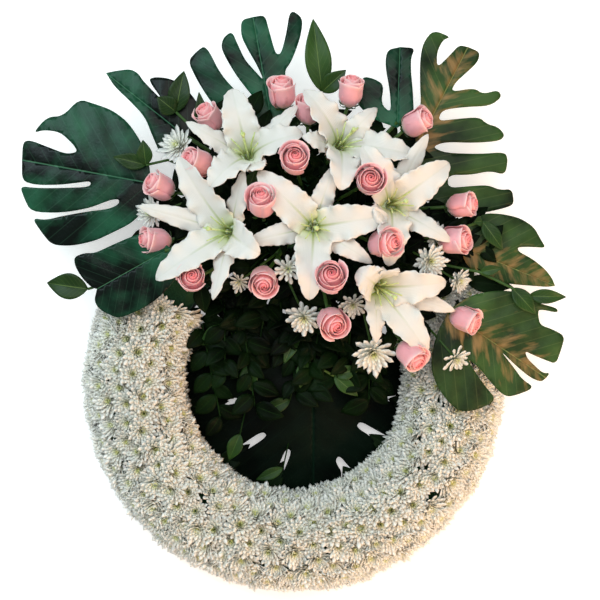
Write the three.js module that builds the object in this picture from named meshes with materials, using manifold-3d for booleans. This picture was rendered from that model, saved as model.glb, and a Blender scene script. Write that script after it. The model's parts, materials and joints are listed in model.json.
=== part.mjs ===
// Funeral wreath lying on its flat back: a ring of white chrysanthemum heads,
// with a spray of lilies, roses and monstera leaves over the top of the ring.
// Millimetres, +Z up towards the viewer, +Y towards the top of the wreath.

import * as THREE from "three";
import { mergeVertices } from "three/addons/utils/BufferGeometryUtils.js";
import Module from "manifold-3d";

const wasm = await Module();
wasm.setup();

// The ring: a flat-backed foam ring of 448 mm mean diameter in a shallow tray.
const RING_RADIUS = 224;
const FOAM_HALF_WIDTH = 44;
const TRAY_HALF_WIDTH = 47;
const TRAY_FLOOR = 3;
const TRAY_HEIGHT = 12;
const FOAM_TOP = 60;
const FOAM_CHAMFER = 14;
const RING_SIDES = 24;
const CLEARANCE = 0.5;
const TIDY = 0.15;

// The chrysanthemum cover: a tube of heads, 138 mm wide and 106 mm high. Depths are
// measured inwards from the tops of the heads.
const COVER_HALF_WIDTH = 69;
const COVER_LEVEL = 42;
const COVER_RISE = 64;
const COVER_REACH = 108;
const COVER_START = 148;
const COVER_SWEEP = 244;
const SECTOR_COUNT = 8;
const SECTOR_GAP = 0.1;
const HEAD_RADIUS = 21.5;
const HEAD_SHARE = 0.47;
const HEAD_PETALS = 5;
const TIP_DEPTH = 5;
const VALLEY_DEPTH = 12;
const BED_DEPTH = 15;
const COVER_STEPS = [3, 10];
// The back of the cover, from the top of the foam down its side: [out, level].
const LINING = [[0, 61.8], [16, 61.8], [31.5, 61.8], [45.8, 47.5], [45.8, 34], [45.8, 20]];
const COVER_ROWS = [
  { across: -84, heads: 2 },
  { across: -40, heads: 2 },
  { across: 0, heads: 2.5 },
  { across: 40, heads: 3 },
  { across: 84, heads: 3 },
];

// The foam block under the spray, and the point that every stem aims at.
const BLOCK_SIZE = [176, 110, 56];
const BLOCK_CORNER = 30;
const BLOCK_BEVEL = 12;
const HEART = new THREE.Vector3(22, 232, 62);
const STEM_START = 44;
const STEM_SIDES = 3;
const STEM_ROOM = 0.8;
const STEM_RADIUS = { rose: 2.8, lily: 3.6, mum: 2.6, monstera: 2.6, sprig: 2.3 };

// The picture is 600 pixels wide. A pixel spans 1.4 mm at the level of the ring's
// widest part, seen from straight above, so higher things look a little larger.
const MM_PER_PIXEL = 1.4;
const SCALE_LEVEL = 60;
const EYE_HEIGHT = 2500;
const PICTURE_CENTRE = [300, 300];
const RING_IN_PICTURE = [294, 381];

const PETAL_THICKNESS = 0.9;
const LEAF_THICKNESS = 0.9;

const COLOURS = {
  tray: { color: "#2f3431", roughness: 0.7, metalness: 0 },
  foam: { color: "#2f5a3c", roughness: 0.95, metalness: 0 },
  mum: { color: "#eef0ea", roughness: 0.8, metalness: 0 },
  lily: { color: "#f6f2ea", roughness: 0.6, metalness: 0 },
  rose: { color: "#ee9fa6", roughness: 0.7, metalness: 0 },
  monstera: { color: "#1f4630", roughness: 0.35, metalness: 0 },
  sprig: { color: "#3f6a26", roughness: 0.5, metalness: 0 },
};

// A lily's tips run clockwise from a wide inner petal, as [x, y, rise] with x and y
// in the picture and the rise in mm above the throat. "leans" is how far the
// flower's axis leans towards the picture's right and top.
const LILIES = [
  {
    name: "lily_centre", throat: [314, 227], level: 188, leans: [0.08, -0.08],
    tips: [[258, 172, 2], [334, 166, -6], [388, 216, -4], [372, 263, -4], [309, 300, 2], [246, 243, -16]],
  },
  {
    name: "lily_left", throat: [225, 231], level: 165, leans: [-0.55, 0.05],
    tips: [[178, 157, 0], [244, 170, 22], [260, 254, 48], [213, 300, 22], [156, 280, -5], [138, 206, -14]],
  },
  {
    name: "lily_upper_left", throat: [247, 152], level: 160, leans: [-0.12, 0.55],
    tips: [[232, 89, -16], [298, 105, -6], [303, 134, 20], [262, 170, 48], [210, 187, 36], [186, 122, 4]],
  },
  {
    name: "lily_upper_right", throat: [342, 143], level: 160, leans: [0.4, 0.4],
    tips: [[304, 90, 4], [377, 108, -18], [414, 156, 4], [386, 176, 10], [340, 190, 48], [302, 137, 34]],
  },
  {
    name: "lily_right", throat: [393, 204], level: 166, leans: [0.4, 0.05],
    tips: [[362, 146, 20], [428, 134, 2], [449, 163, -5], [452, 242, -5], [388, 266, 10], [374, 222, 30]],
  },
  {
    name: "lily_lower_right", throat: [381, 289], level: 160, leans: [0.45, -0.3],
    tips: [[357, 271, 34], [398, 268, 34], [446, 282, 4], [455, 311, -8], [427, 352, -8], [376, 343, 12]],
  },
];
const LILY_THROAT_DEPTH = 44;
const LILY_RIM_DEPTH = 10;
const LILY_CUP_RADIUS = 13;
const LILY_WIDE_PETAL = 24;
const LILY_NARROW_PETAL = 15;
const LILY_REACH = 108;
const LILY_STYLE = 44;
const LILY_FILAMENTS = 3;

// A rose's place is the middle of its head in the picture, with its level in mm.
const ROSES = [
  { at: [282, 91], level: 146, leans: [-0.05, 0.8], radius: 18 },
  { at: [209, 117], level: 132, leans: [-0.45, 0.62], radius: 17.5 },
  { at: [308, 108], level: 150, leans: [0.05, 0.85], radius: 17 },
  { at: [351, 90], level: 146, leans: [0.1, 0.86], radius: 17 },
  { at: [197, 162], level: 158, leans: [-0.72, 0.25], radius: 18 },
  { at: [159, 186], level: 136, leans: [-0.72, 0.4], radius: 17.5 },
  { at: [295, 159], level: 206, leans: [0.02, 0.22], radius: 19.5 },
  { at: [261, 201], level: 200, leans: [-0.05, 0.5], radius: 19.5 },
  { at: [154, 240], level: 134, leans: [-0.86, 0.02], radius: 17.5 },
  { at: [192, 278], level: 160, leans: [0.05, 0.18], radius: 18.5 },
  { at: [264, 281], level: 184, leans: [0.02, -0.42], radius: 18.5 },
  { at: [331, 277], level: 212, leans: [0.02, 0.26], radius: 20.5 },
  { at: [333, 322], level: 172, leans: [0.28, -0.36], radius: 19.5 },
  { at: [370, 180], level: 204, leans: [0.04, 0.1], radius: 19.5 },
  { at: [386, 243], level: 190, leans: [0.6, 0.05], radius: 19.5 },
  { at: [418, 122], level: 146, leans: [0.8, 0.34], radius: 17 },
  { at: [463, 205], level: 138, leans: [0.9, 0.12], radius: 17 },
  { at: [456, 240], level: 150, leans: [0.84, 0.04], radius: 18.5 },
  { at: [466, 320], level: 139, leans: [0.8, -0.34], radius: 17.5 },
  { at: [412, 355], level: 156, leans: [0.5, -0.64], radius: 18 },
];

// A monstera leaf's outline in the picture, from its base to its tip down each side.
// Its level, in mm, starts at the base: it climbs by "slope" along the rib and by
// "tilt" across it, and falls with the square of both distances by "droop" and "curl".
const MONSTERAS = [
  {
    name: "monstera_left", base: [150, 183], tip: [22, 160],
    level: 118, slope: -0.05, droop: 0.0004, tilt: 0, curl: 0.0008,
    right: [
      [150, 166], [142, 143], [128, 122], [112, 110], [95, 104], [79, 99], [63, 116], [47, 117],
      [33, 133], [44, 130], [60, 132], [73, 144], [78, 152], [66, 154], [48, 147], [30, 140], [23, 142],
    ],
    left: [
      [150, 198], [140, 215], [130, 224], [114, 232], [95, 241], [72, 246], [52, 245], [42, 233],
      [32, 218], [46, 220], [62, 216], [90, 211], [109, 209], [119, 204], [119, 199], [110, 200],
      [90, 208], [62, 213], [31, 212], [24, 198], [20, 186], [36, 188], [60, 188], [90, 187],
      [91, 181], [76, 183], [58, 185], [36, 185], [22, 181],
    ],
  },
  {
    name: "monstera_lower_left", base: [170, 248], tip: [97, 289],
    level: 142, slope: -0.14, droop: 0, tilt: 0, curl: 0.0004,
    right: [
      [152, 232], [135, 235], [112, 245], [95, 253], [84, 253], [74, 257], [75, 266], [82, 278], [91, 287],
    ],
    left: [[182, 262], [178, 276], [165, 292], [148, 306], [126, 316], [116, 318], [100, 310], [94, 301]],
  },
  {
    name: "monstera_upper_left", base: [188, 138], tip: [106, 73],
    level: 122, slope: -0.03, droop: 0.0004, tilt: 0, curl: 0.0008,
    right: [
      [205, 118], [196, 100], [182, 84], [168, 78], [154, 77], [148, 80], [165, 103], [144, 82], [138, 73],
      [130, 69], [115, 71],
    ],
    left: [[162, 158], [152, 135], [145, 117], [130, 101], [114, 86]],
  },
  {
    name: "monstera_top", base: [272, 124], tip: [253, 17],
    level: 116, slope: 0.05, droop: 0.0006, tilt: 0, curl: 0.0008,
    right: [
      [292, 118], [290, 92], [284, 72], [291, 62], [296, 50], [301, 35], [303, 18], [290, 9], [286, 35],
      [281, 54], [276, 54], [273, 45], [269, 30], [265, 15],
    ],
    left: [
      [240, 122], [214, 106], [203, 90], [196, 78], [188, 61], [197, 51], [206, 45], [221, 75], [240, 95],
      [262, 108], [250, 93], [238, 78], [228, 62], [221, 48], [223, 38], [232, 31], [238, 45], [245, 60],
      [255, 71], [264, 81], [257, 65], [248, 50], [241, 36], [241, 20],
    ],
  },
  {
    name: "monstera_top_right_small", base: [397, 128], tip: [400, 47],
    level: 128, slope: 0.02, droop: 0.0006, tilt: 0, curl: 0.0008,
    right: [[414, 118], [413, 92], [411, 72], [411, 58], [415, 48]],
    left: [
      [370, 118], [354, 100], [362, 76], [375, 79], [384, 85], [381, 104], [391, 113], [390, 92], [385, 65],
      [387, 50],
    ],
  },
  {
    name: "monstera_top_right", base: [414, 152], tip: [468, 47],
    level: 110, slope: 0, droop: 0.0004, tilt: 0, curl: 0.0006,
    right: [
      [425, 190], [440, 208], [470, 215], [488, 212], [509, 207], [514, 203], [512, 189], [500, 190],
      [488, 185], [470, 186], [448, 188], [448, 175], [470, 175], [490, 171], [505, 175], [508, 160],
      [505, 152], [480, 154], [446, 153], [432, 147], [445, 142], [475, 143], [500, 141], [505, 135],
      [498, 127], [487, 124], [479, 117], [455, 119], [438, 121], [442, 110], [465, 107],
      [490, 106], [502, 97], [498, 90], [483, 94], [474, 88], [451, 92], [455, 83], [465, 74], [478, 62],
      [480, 52],
    ],
    left: [
      [417, 126], [421, 103], [420, 85], [420, 60], [423, 43], [433, 30], [451, 37], [443, 40], [437, 52],
      [437, 68], [450, 55], [459, 45],
    ],
  },
  {
    name: "monstera_right", base: [460, 246], tip: [555, 286],
    level: 128, slope: -0.08, droop: 0.0004, tilt: 0, curl: 0.0008,
    right: [[466, 266], [488, 279], [508, 284], [534, 286], [547, 287]],
    left: [
      [470, 224], [484, 213], [503, 214], [520, 218], [534, 227], [541, 240], [546, 248], [533, 247],
      [517, 247], [519, 252], [531, 258], [544, 268], [552, 278],
    ],
  },
  {
    name: "monstera_lower_right", base: [448, 312], tip: [546, 378],
    level: 137, slope: -0.08, droop: 0.0002, tilt: 0, curl: 0.0003,
    right: [
      [436, 335], [430, 365], [436, 385], [448, 402], [460, 412], [478, 410], [497, 400], [484, 385],
      [466, 358], [478, 366], [492, 384], [503, 395], [511, 397], [535, 388], [522, 379], [515, 369],
      [500, 350], [512, 362], [521, 370], [531, 378], [541, 382],
    ],
    left: [
      [468, 296], [496, 290], [520, 292], [538, 303], [557, 308], [558, 313], [539, 309], [538, 314],
      [540, 325], [552, 329], [565, 336], [561, 350], [556, 364], [545, 360], [533, 355], [525, 351],
      [527, 358], [535, 366], [543, 373], [550, 373],
    ],
  },
  {
    name: "monstera_eye_front", base: [313, 333], tip: [313, 495],
    level: 38, slope: 0.169, droop: 0.00132, tilt: -0.071, curl: 0.00132,
    right: [
      [284, 325], [255, 338], [222, 352], [190, 368], [180, 390], [184, 402], [215, 401], [236, 397],
      [243, 402], [215, 407], [184, 408], [190, 432], [206, 458], [212, 462], [240, 446], [262, 431],
      [268, 436], [245, 451], [218, 468], [235, 480], [258, 491], [265, 492], [277, 470], [286, 448],
      [292, 451], [283, 473], [273, 494], [290, 496],
    ],
    left: [
      [338, 322], [372, 328], [400, 345], [413, 372], [409, 392], [398, 396], [384, 394], [380, 400],
      [396, 402], [405, 418], [394, 440], [376, 430], [360, 421], [356, 427], [372, 437], [382, 456],
      [362, 478], [350, 468], [339, 455], [335, 461], [343, 474], [335, 486],
    ],
  },
  {
    name: "monstera_eye_back", base: [262, 300], tip: [184, 362],
    level: 22, slope: 0.06, droop: 0.001, tilt: 0, curl: 0.001,
    right: [[240, 290], [212, 297], [196, 310], [218, 314], [222, 320], [190, 326], [184, 340]],
    left: [[284, 316], [276, 345], [262, 372], [246, 390], [226, 402], [200, 402], [186, 386]],
  },
];

// Bunches of small white chrysanthemums: "fork" is where their stems part, and each
// head has its place in the picture, its level and its radius in mm, and its lean.
const SPRAY_MUMS = [
  {
    name: "spray_mums_left", fork: [208, 194, 112],
    heads: [
      { at: [178, 146], level: 141, radius: 27, leans: [-0.5, 0.3] },
      { at: [151, 213], level: 124, radius: 24, leans: [-0.6, 0] },
    ],
  },
  {
    name: "spray_mums_lower", fork: [276, 254, 132],
    heads: [
      { at: [239, 282], level: 138, radius: 15, leans: [-0.3, -0.4] },
      { at: [288, 269], level: 180, radius: 21, leans: [0, -0.1] },
    ],
  },
  {
    name: "spray_mums_lower_right", fork: [358, 290, 116],
    heads: [
      { at: [353, 305], level: 150, radius: 18, leans: [0, -0.4] },
      { at: [373, 353], level: 146, radius: 30, leans: [0.1, -0.45] },
    ],
  },
  {
    name: "spray_mums_right", fork: [402, 246, 112],
    heads: [
      { at: [430, 261], level: 156, radius: 24, leans: [0.3, -0.1] },
      { at: [459, 281], level: 138, radius: 18, leans: [0.6, -0.2] },
    ],
  },
  {
    name: "spray_mums_edge", fork: [420, 318, 112],
    heads: [{ at: [456, 359], level: 150, radius: 20, leans: [0.4, -0.5] }],
  },
];

// Leafy sprigs: a stem through the points given as [x, y, level], and leaves as
// [where the leaf leaves the stem, its tip, its width in mm].
const SPRIGS = [
  {
    name: "sprig_far_left", stem: [[160, 266, 114], [88, 289, 112]],
    leaves: [[[88, 289, 112], [47, 283, 104], 36]],
  },
  {
    name: "sprig_upper_left", stem: [[205, 140, 118], [176, 112, 128]],
    leaves: [
      [[176, 112, 128], [184, 71, 132], 30],
      [[176, 112, 128], [157, 97, 138], 28],
      [[205, 140, 118], [199, 92, 136], 22],
    ],
  },
  {
    name: "sprig_left", stem: [[168, 160, 112], [146, 165, 124]],
    leaves: [
      [[146, 165, 124], [143, 140, 132], 22],
      [[146, 165, 124], [113, 157, 128], 22],
    ],
  },
  {
    name: "sprig_centre", stem: [[262, 208, 126], [241, 205, 136]],
    leaves: [[[241, 205, 136], [257, 168, 140], 24]],
  },
  {
    name: "sprig_top", stem: [[318, 130, 112], [322, 92, 124]],
    leaves: [
      [[322, 92, 124], [313, 19, 128], 36],
      [[322, 92, 124], [346, 70, 136], 26],
    ],
  },
  {
    name: "sprig_right", stem: [[440, 236, 112], [482, 221, 134]],
    leaves: [
      [[482, 221, 134], [503, 250, 130], 22],
      [[482, 221, 134], [474, 222, 142], 14],
    ],
  },
  {
    name: "sprig_lower_right", stem: [[430, 262, 112], [480, 272, 136], [512, 288, 134], [528, 296, 134]],
    leaves: [
      [[480, 272, 136], [502, 268, 140], 14],
      [[512, 288, 134], [536, 314, 132], 24],
      [[528, 296, 134], [566, 297, 134], 20],
    ],
  },
  {
    name: "sprig_eye", stem: [[298, 330, 56], [306, 360, 62], [334, 376, 66]],
    leaves: [
      [[298, 330, 56], [284, 364, 66], 20],
      [[306, 360, 62], [300, 388, 66], 20],
      [[334, 376, 66], [360, 368, 66], 20],
      [[334, 376, 66], [358, 396, 62], 20],
    ],
  },
];

const UP = new THREE.Vector3(0, 0, 1);
const stemHoles = [];
const random = THREE.MathUtils.seededRandom;
random(7);

// The eye's place over the ring's centre, and the point at a level that a pixel shows.
const EYE = [
  (PICTURE_CENTRE[0] - RING_IN_PICTURE[0]) * MM_PER_PIXEL,
  (RING_IN_PICTURE[1] - PICTURE_CENTRE[1]) * MM_PER_PIXEL,
];

function seen([x, y], level) {
  const scale = (MM_PER_PIXEL * (EYE_HEIGHT - level)) / (EYE_HEIGHT - SCALE_LEVEL);
  return new THREE.Vector3(
    EYE[0] + (x - PICTURE_CENTRE[0]) * scale,
    EYE[1] + (PICTURE_CENTRE[1] - y) * scale,
    level,
  );
}

function seenAt([x, y, level]) {
  return seen([x, y], level);
}

function leaning([x, y]) {
  return new THREE.Vector3(x, y, Math.sqrt(1 - x * x - y * y));
}

// A closed geometry as a solid. Triangles that shrink to a line at a tip are left out.
function toSolid(geometry) {
  const plain = geometry.clone();
  plain.deleteAttribute("normal");
  plain.deleteAttribute("uv");
  const merged = mergeVertices(plain, 1e-3);
  const index = merged.index.array;
  const triangles = [];
  for (let i = 0; i < index.length; i += 3) {
    const [a, b, c] = [index[i], index[i + 1], index[i + 2]];
    if (a !== b && b !== c && a !== c) triangles.push(a, b, c);
  }
  const points = new Float32Array(merged.attributes.position.array);
  const shape = makeSolid(points, triangles);
  if (shape.volume() > 0) return shape;
  const turned = [];
  for (let i = 0; i < triangles.length; i += 3) turned.push(triangles[i], triangles[i + 2], triangles[i + 1]);
  return makeSolid(points, turned);
}

function makeSolid(points, triangles) {
  const mesh = new wasm.Mesh({ numProp: 3, vertProperties: points, triVerts: new Uint32Array(triangles) });
  mesh.merge();
  return new wasm.Manifold(mesh);
}

function toGeometry(shape) {
  const mesh = shape.getMesh();
  const geometry = new THREE.BufferGeometry();
  geometry.setAttribute("position", new THREE.BufferAttribute(new Float32Array(mesh.vertProperties), 3));
  geometry.setIndex(new THREE.BufferAttribute(new Uint32Array(mesh.triVerts), 1));
  return geometry;
}

function joined(shapes) {
  return shapes.reduce((whole, shape) => whole.add(shape));
}

// The largest body alone, without loose scraps and without sealed hollows.
function wholeBody(shape) {
  const bodies = shape.decompose();
  return bodies.reduce((best, body) => (body.volume() > best.volume() ? body : best));
}

// The same solid with its surface moved outwards, to cut room for it in a neighbour.
function swollen(shape, distance) {
  const geometry = toGeometry(shape);
  const points = geometry.attributes.position;
  const index = geometry.index.array;
  const around = Array.from({ length: points.count }, () => []);
  for (let i = 0; i < index.length; i += 3) {
    const corners = [0, 1, 2].map((k) => new THREE.Vector3().fromBufferAttribute(points, index[i + k]));
    const normal = new THREE.Triangle(...corners).getNormal(new THREE.Vector3());
    for (let k = 0; k < 3; k++) around[index[i + k]].push(normal);
  }
  around.forEach((normals, i) => {
    const out = normals.reduce((sum, normal) => sum.add(normal), new THREE.Vector3()).normalize();
    const least = normals.reduce((low, normal) => Math.min(low, normal.dot(out)), 1);
    const point = new THREE.Vector3().fromBufferAttribute(points, i);
    point.addScaledVector(out, distance / Math.max(least, 0.35));
    points.setXYZ(i, point.x, point.y, point.z);
  });
  return toSolid(geometry);
}

// A blade of even thickness: an open sheet whose two faces share their triangles.
function blade(sheet, place, thickness) {
  const plain = sheet.clone();
  plain.deleteAttribute("normal");
  plain.deleteAttribute("uv");
  const merged = mergeVertices(plain, 1e-3);
  const points = merged.attributes.position;
  const point = new THREE.Vector3();
  for (let i = 0; i < points.count; i++) {
    point.copy(place(points.getX(i), points.getY(i)));
    points.setXYZ(i, point.x, point.y, point.z);
  }
  merged.computeVertexNormals();
  const normals = merged.attributes.normal;
  const count = points.count;
  const position = new Float32Array(count * 6);
  for (let i = 0; i < count; i++) {
    for (let axis = 0; axis < 3; axis++) {
      const middle = points.getComponent(i, axis);
      const half = (normals.getComponent(i, axis) * thickness) / 2;
      position[3 * i + axis] = middle + half;
      position[3 * (i + count) + axis] = middle - half;
    }
  }
  const front = merged.index.array;
  const index = [];
  const edges = new Map();
  for (let i = 0; i < front.length; i += 3) {
    const corners = [front[i], front[i + 1], front[i + 2]];
    index.push(...corners, corners[0] + count, corners[2] + count, corners[1] + count);
    corners.forEach((from, k) => {
      const to = corners[(k + 1) % 3];
      if (!edges.delete(`${to} ${from}`)) edges.set(`${from} ${to}`, [from, to]);
    });
  }
  for (const [from, to] of edges.values()) {
    index.push(from, from + count, to + count, from, to + count, to);
  }
  const closed = new THREE.BufferGeometry();
  closed.setAttribute("position", new THREE.BufferAttribute(position, 3));
  closed.setIndex(index);
  return toSolid(closed);
}

// A straight stem between two points.
function rod(from, to, startRadius, endRadius, sides) {
  const along = new THREE.Vector3().subVectors(to, from);
  const geometry = new THREE.CylinderGeometry(endRadius, startRadius, along.length(), sides);
  geometry.rotateX(Math.PI / 2);
  return toSolid(placed(geometry, from.clone().addScaledVector(along, 0.5), along.normalize(), 0));
}

function placed(geometry, origin, axis, spin) {
  const turn = new THREE.Quaternion().setFromUnitVectors(UP, axis);
  const about = new THREE.Quaternion().setFromAxisAngle(UP, spin);
  geometry.applyQuaternion(turn.multiply(about));
  geometry.translate(origin.x, origin.y, origin.z);
  return geometry;
}

// A stem from inside the foam block, aimed away from its heart.
function footedStem(end, radius) {
  const along = new THREE.Vector3().subVectors(end, HEART).normalize();
  const start = HEART.clone().addScaledVector(along, STEM_START);
  stemHoles.push({ start: start.clone().addScaledVector(along, -1), end, radius: radius + STEM_ROOM });
  return rod(start, end, radius, radius, STEM_SIDES);
}

// A stem in the ring's eye, from the inner side of the foam ring.
function lowStem(end, radius) {
  const start = new THREE.Vector3(end.x * 0.9, RING_RADIUS - FOAM_HALF_WIDTH + 22, 44);
  const along = new THREE.Vector3().subVectors(end, start).normalize();
  stemHoles.push({ start: start.clone().addScaledVector(along, -1), end, radius: radius + STEM_ROOM });
  return rod(start, end, radius, radius, STEM_SIDES);
}

// A bloom turned about its axis. Each row is [radius, height, lobe, turn]: a lobe of
// 0.1 widens every second point of the row by a tenth, and narrows and lowers the others.
const LOBE_RISE = 22;

function lobed(rows, petals) {
  const profile = rows.map(([radius, height]) => new THREE.Vector2(radius, height));
  const geometry = new THREE.LatheGeometry(profile, petals * 2);
  geometry.rotateX(Math.PI / 2);
  const points = geometry.attributes.position;
  for (let i = 0; i < points.count; i++) {
    const [, , lobe = 0, turn = 0] = rows[i % rows.length];
    const column = Math.floor(i / rows.length);
    const side = (column + turn) % 2 === 0 ? 1 : -1;
    const factor = 1 + lobe * side;
    const level = points.getZ(i) + lobe * side * LOBE_RISE;
    points.setXYZ(i, points.getX(i) * factor, points.getY(i) * factor, level);
  }
  return geometry;
}

function trayShape() {
  const inner = RING_RADIUS - TRAY_HALF_WIDTH;
  const outer = RING_RADIUS + TRAY_HALF_WIDTH;
  const wall = TRAY_HALF_WIDTH - FOAM_HALF_WIDTH - CLEARANCE;
  const profile = [
    [inner, 0], [outer, 0], [outer, TRAY_HEIGHT], [outer - wall, TRAY_HEIGHT],
    [outer - wall, TRAY_FLOOR], [inner + wall, TRAY_FLOOR], [inner + wall, TRAY_HEIGHT], [inner, TRAY_HEIGHT],
    [inner, 0],
  ];
  return turnedRing(profile);
}

function foamRingShape() {
  const inner = RING_RADIUS - FOAM_HALF_WIDTH;
  const outer = RING_RADIUS + FOAM_HALF_WIDTH;
  const floor = TRAY_FLOOR + 0.3;
  const shoulder = FOAM_TOP - FOAM_CHAMFER;
  const profile = [
    [inner, floor], [outer, floor], [outer, shoulder], [outer - FOAM_CHAMFER, FOAM_TOP],
    [inner + FOAM_CHAMFER, FOAM_TOP], [inner, shoulder], [inner, floor],
  ];
  return turnedRing(profile);
}

function turnedRing(profile) {
  const points = profile.map(([radius, height]) => new THREE.Vector2(radius, height));
  const geometry = new THREE.LatheGeometry(points, RING_SIDES);
  geometry.rotateX(Math.PI / 2);
  return toSolid(geometry);
}

function foamBlockShape() {
  const [width, depth, height] = BLOCK_SIZE;
  const x = width / 2 - BLOCK_CORNER;
  const y = depth / 2 - BLOCK_CORNER;
  const outline = new THREE.Shape();
  outline.absarc(x, y, BLOCK_CORNER, 0, Math.PI / 2);
  outline.absarc(-x, y, BLOCK_CORNER, Math.PI / 2, Math.PI);
  outline.absarc(-x, -y, BLOCK_CORNER, Math.PI, Math.PI * 1.5);
  outline.absarc(x, -y, BLOCK_CORNER, Math.PI * 1.5, Math.PI * 2);
  const geometry = new THREE.ExtrudeGeometry(outline, {
    depth: height - BLOCK_BEVEL, curveSegments: 2, bevelSegments: 1,
    bevelSize: BLOCK_BEVEL, bevelThickness: BLOCK_BEVEL, bevelOffset: -BLOCK_BEVEL,
  });
  const floor = FOAM_TOP + 0.3;
  geometry.translate(HEART.x, HEART.y, floor);
  const below = new THREE.BoxGeometry(2 * width, 2 * depth, 60);
  below.translate(HEART.x, HEART.y, floor - 30);
  return toSolid(geometry).subtract(toSolid(below));
}

// A stretch of the chrysanthemum cover: star-shaped heads raised from a bed that
// arches over the foam. It is laid out flat, as degrees round the ring and degrees
// across the tube, and then bent to its place.
function coverSector(number) {
  const sweep = COVER_SWEEP / SECTOR_COUNT;
  const start = COVER_START + number * sweep + SECTOR_GAP;
  const end = start + sweep - 2 * SECTOR_GAP;
  const across = 2 * COVER_REACH;
  const back = new THREE.PlaneGeometry(end - start, across, COVER_STEPS[0], COVER_STEPS[1]);
  back.translate((start + end) / 2, 0, 0);
  const bed = new THREE.Shape(flatBorder(start, end));
  const heads = headCentres(number, start, end);
  const stars = heads.map(starOutline);
  bed.holes = stars.map((star) => new THREE.Path(star));
  const triangles = [];
  eachTriangle(new THREE.ShapeGeometry(bed), (corners) => {
    triangles.push(corners.map(([x, y]) => coverPoint(x, y, bedDepth(stars, x, y))));
  });
  stars.forEach((star, i) => {
    star.forEach((point, k) => {
      const next = star[(k + 1) % star.length];
      const ring = [point, next].map(({ x, y }) => coverPoint(x, y, bedDepth(stars, x, y)));
      triangles.push([coverPoint(heads[i].x, heads[i].y, 0), ...ring]);
    });
  });
  eachTriangle(back, (corners) => {
    triangles.push(corners.map(([x, y]) => liningPoint(x, y)).reverse());
  });
  const border = flatBorder(start, end);
  border.forEach((point, i) => {
    const next = border[(i + 1) % border.length];
    const outer = [point, next].map(({ x, y }) => coverPoint(x, y, BED_DEPTH));
    const inner = [point, next].map(({ x, y }) => liningPoint(x, y));
    triangles.push([outer[1], outer[0], inner[0]], [outer[1], inner[0], inner[1]]);
  });
  return fromTriangles(triangles);
}

function headCentres(number, start, end) {
  const centres = [];
  COVER_ROWS.forEach(({ across, heads }, row) => {
    const count = heads % 1 ? Math.floor(heads) + (number % 2) : heads;
    const step = (end - start) / count;
    for (let i = 0; i < count; i++) {
      const along = start + step * (i + 0.5) + 0.5 * (random() - 0.5);
      centres.push({ x: along, y: across + 2 * (random() - 0.5), step });
    }
  });
  return centres;
}

// A head's outline laid flat, with its petal tips and the valleys between them.
function starOutline(centre) {
  const radius = RING_RADIUS + COVER_HALF_WIDTH * Math.sin(THREE.MathUtils.degToRad(centre.y));
  const alongDegree = (Math.PI / 180) * radius;
  const acrossDegree = (Math.PI / 180) * 0.5 * (COVER_HALF_WIDTH + COVER_RISE);
  const widest = Math.min(HEAD_RADIUS, HEAD_SHARE * centre.step * alongDegree);
  const spin = random() * Math.PI;
  const outline = [];
  for (let i = 0; i < 2 * HEAD_PETALS; i++) {
    const turn = spin + (i * Math.PI) / HEAD_PETALS;
    const reach = widest * (i % 2 ? 0.66 : 1);
    const x = centre.x + (reach * Math.cos(turn)) / alongDegree;
    const y = centre.y + (reach * Math.sin(turn)) / acrossDegree;
    outline.push(new THREE.Vector2(tidyAngle(x), tidyAngle(y)));
  }
  return outline;
}

function bedDepth(stars, x, y) {
  for (const star of stars) {
    const corner = star.findIndex((point) => Math.hypot(point.x - x, point.y - y) < 1e-4);
    if (corner >= 0) return corner % 2 ? VALLEY_DEPTH : TIP_DEPTH;
  }
  return BED_DEPTH;
}

// The border of a stretch laid flat, with the same points as its plain back.
function flatBorder(start, end) {
  const [along, across] = COVER_STEPS;
  const border = [];
  const sides = [
    [start, -COVER_REACH, end, -COVER_REACH, along], [end, -COVER_REACH, end, COVER_REACH, across],
    [end, COVER_REACH, start, COVER_REACH, along], [start, COVER_REACH, start, -COVER_REACH, across],
  ];
  for (const [x0, y0, x1, y1, steps] of sides) {
    for (let i = 0; i < steps; i++) {
      border.push(new THREE.Vector2(x0 + ((x1 - x0) * i) / steps, y0 + ((y1 - y0) * i) / steps));
    }
  }
  return border;
}

// A point of the cover at degrees along the ring and across the tube, at a depth.
function coverPoint(along, across, depth) {
  const turn = THREE.MathUtils.degToRad(tidyAngle(across));
  const radius = RING_RADIUS + (COVER_HALF_WIDTH - depth) * Math.sin(turn);
  return onRing(along, radius, COVER_LEVEL + (COVER_RISE - depth) * Math.cos(turn));
}

// The cover's back, which follows the foam with a small gap.
function liningPoint(along, across) {
  const share = (Math.abs(tidyAngle(across)) / COVER_REACH) * (LINING.length - 1);
  const [out, level] = LINING[Math.round(share)];
  return onRing(along, RING_RADIUS + Math.sign(across) * out, level);
}

// Degrees to three places, so that points reached in two ways are the same.
function tidyAngle(degrees) {
  return Math.round(degrees * 1000) / 1000;
}

function onRing(along, radius, level) {
  const turn = THREE.MathUtils.degToRad(tidyAngle(along));
  return new THREE.Vector3(radius * Math.cos(turn), radius * Math.sin(turn), level);
}

function eachTriangle(geometry, visit) {
  const points = geometry.toNonIndexed().attributes.position;
  for (let i = 0; i < points.count; i += 3) {
    visit([0, 1, 2].map((k) => [points.getX(i + k), points.getY(i + k)]));
  }
}

function fromTriangles(triangles) {
  const geometry = new THREE.BufferGeometry();
  const values = triangles.flat().flatMap((point) => point.toArray());
  geometry.setAttribute("position", new THREE.Float32BufferAttribute(values, 3));
  return toSolid(geometry);
}

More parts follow.
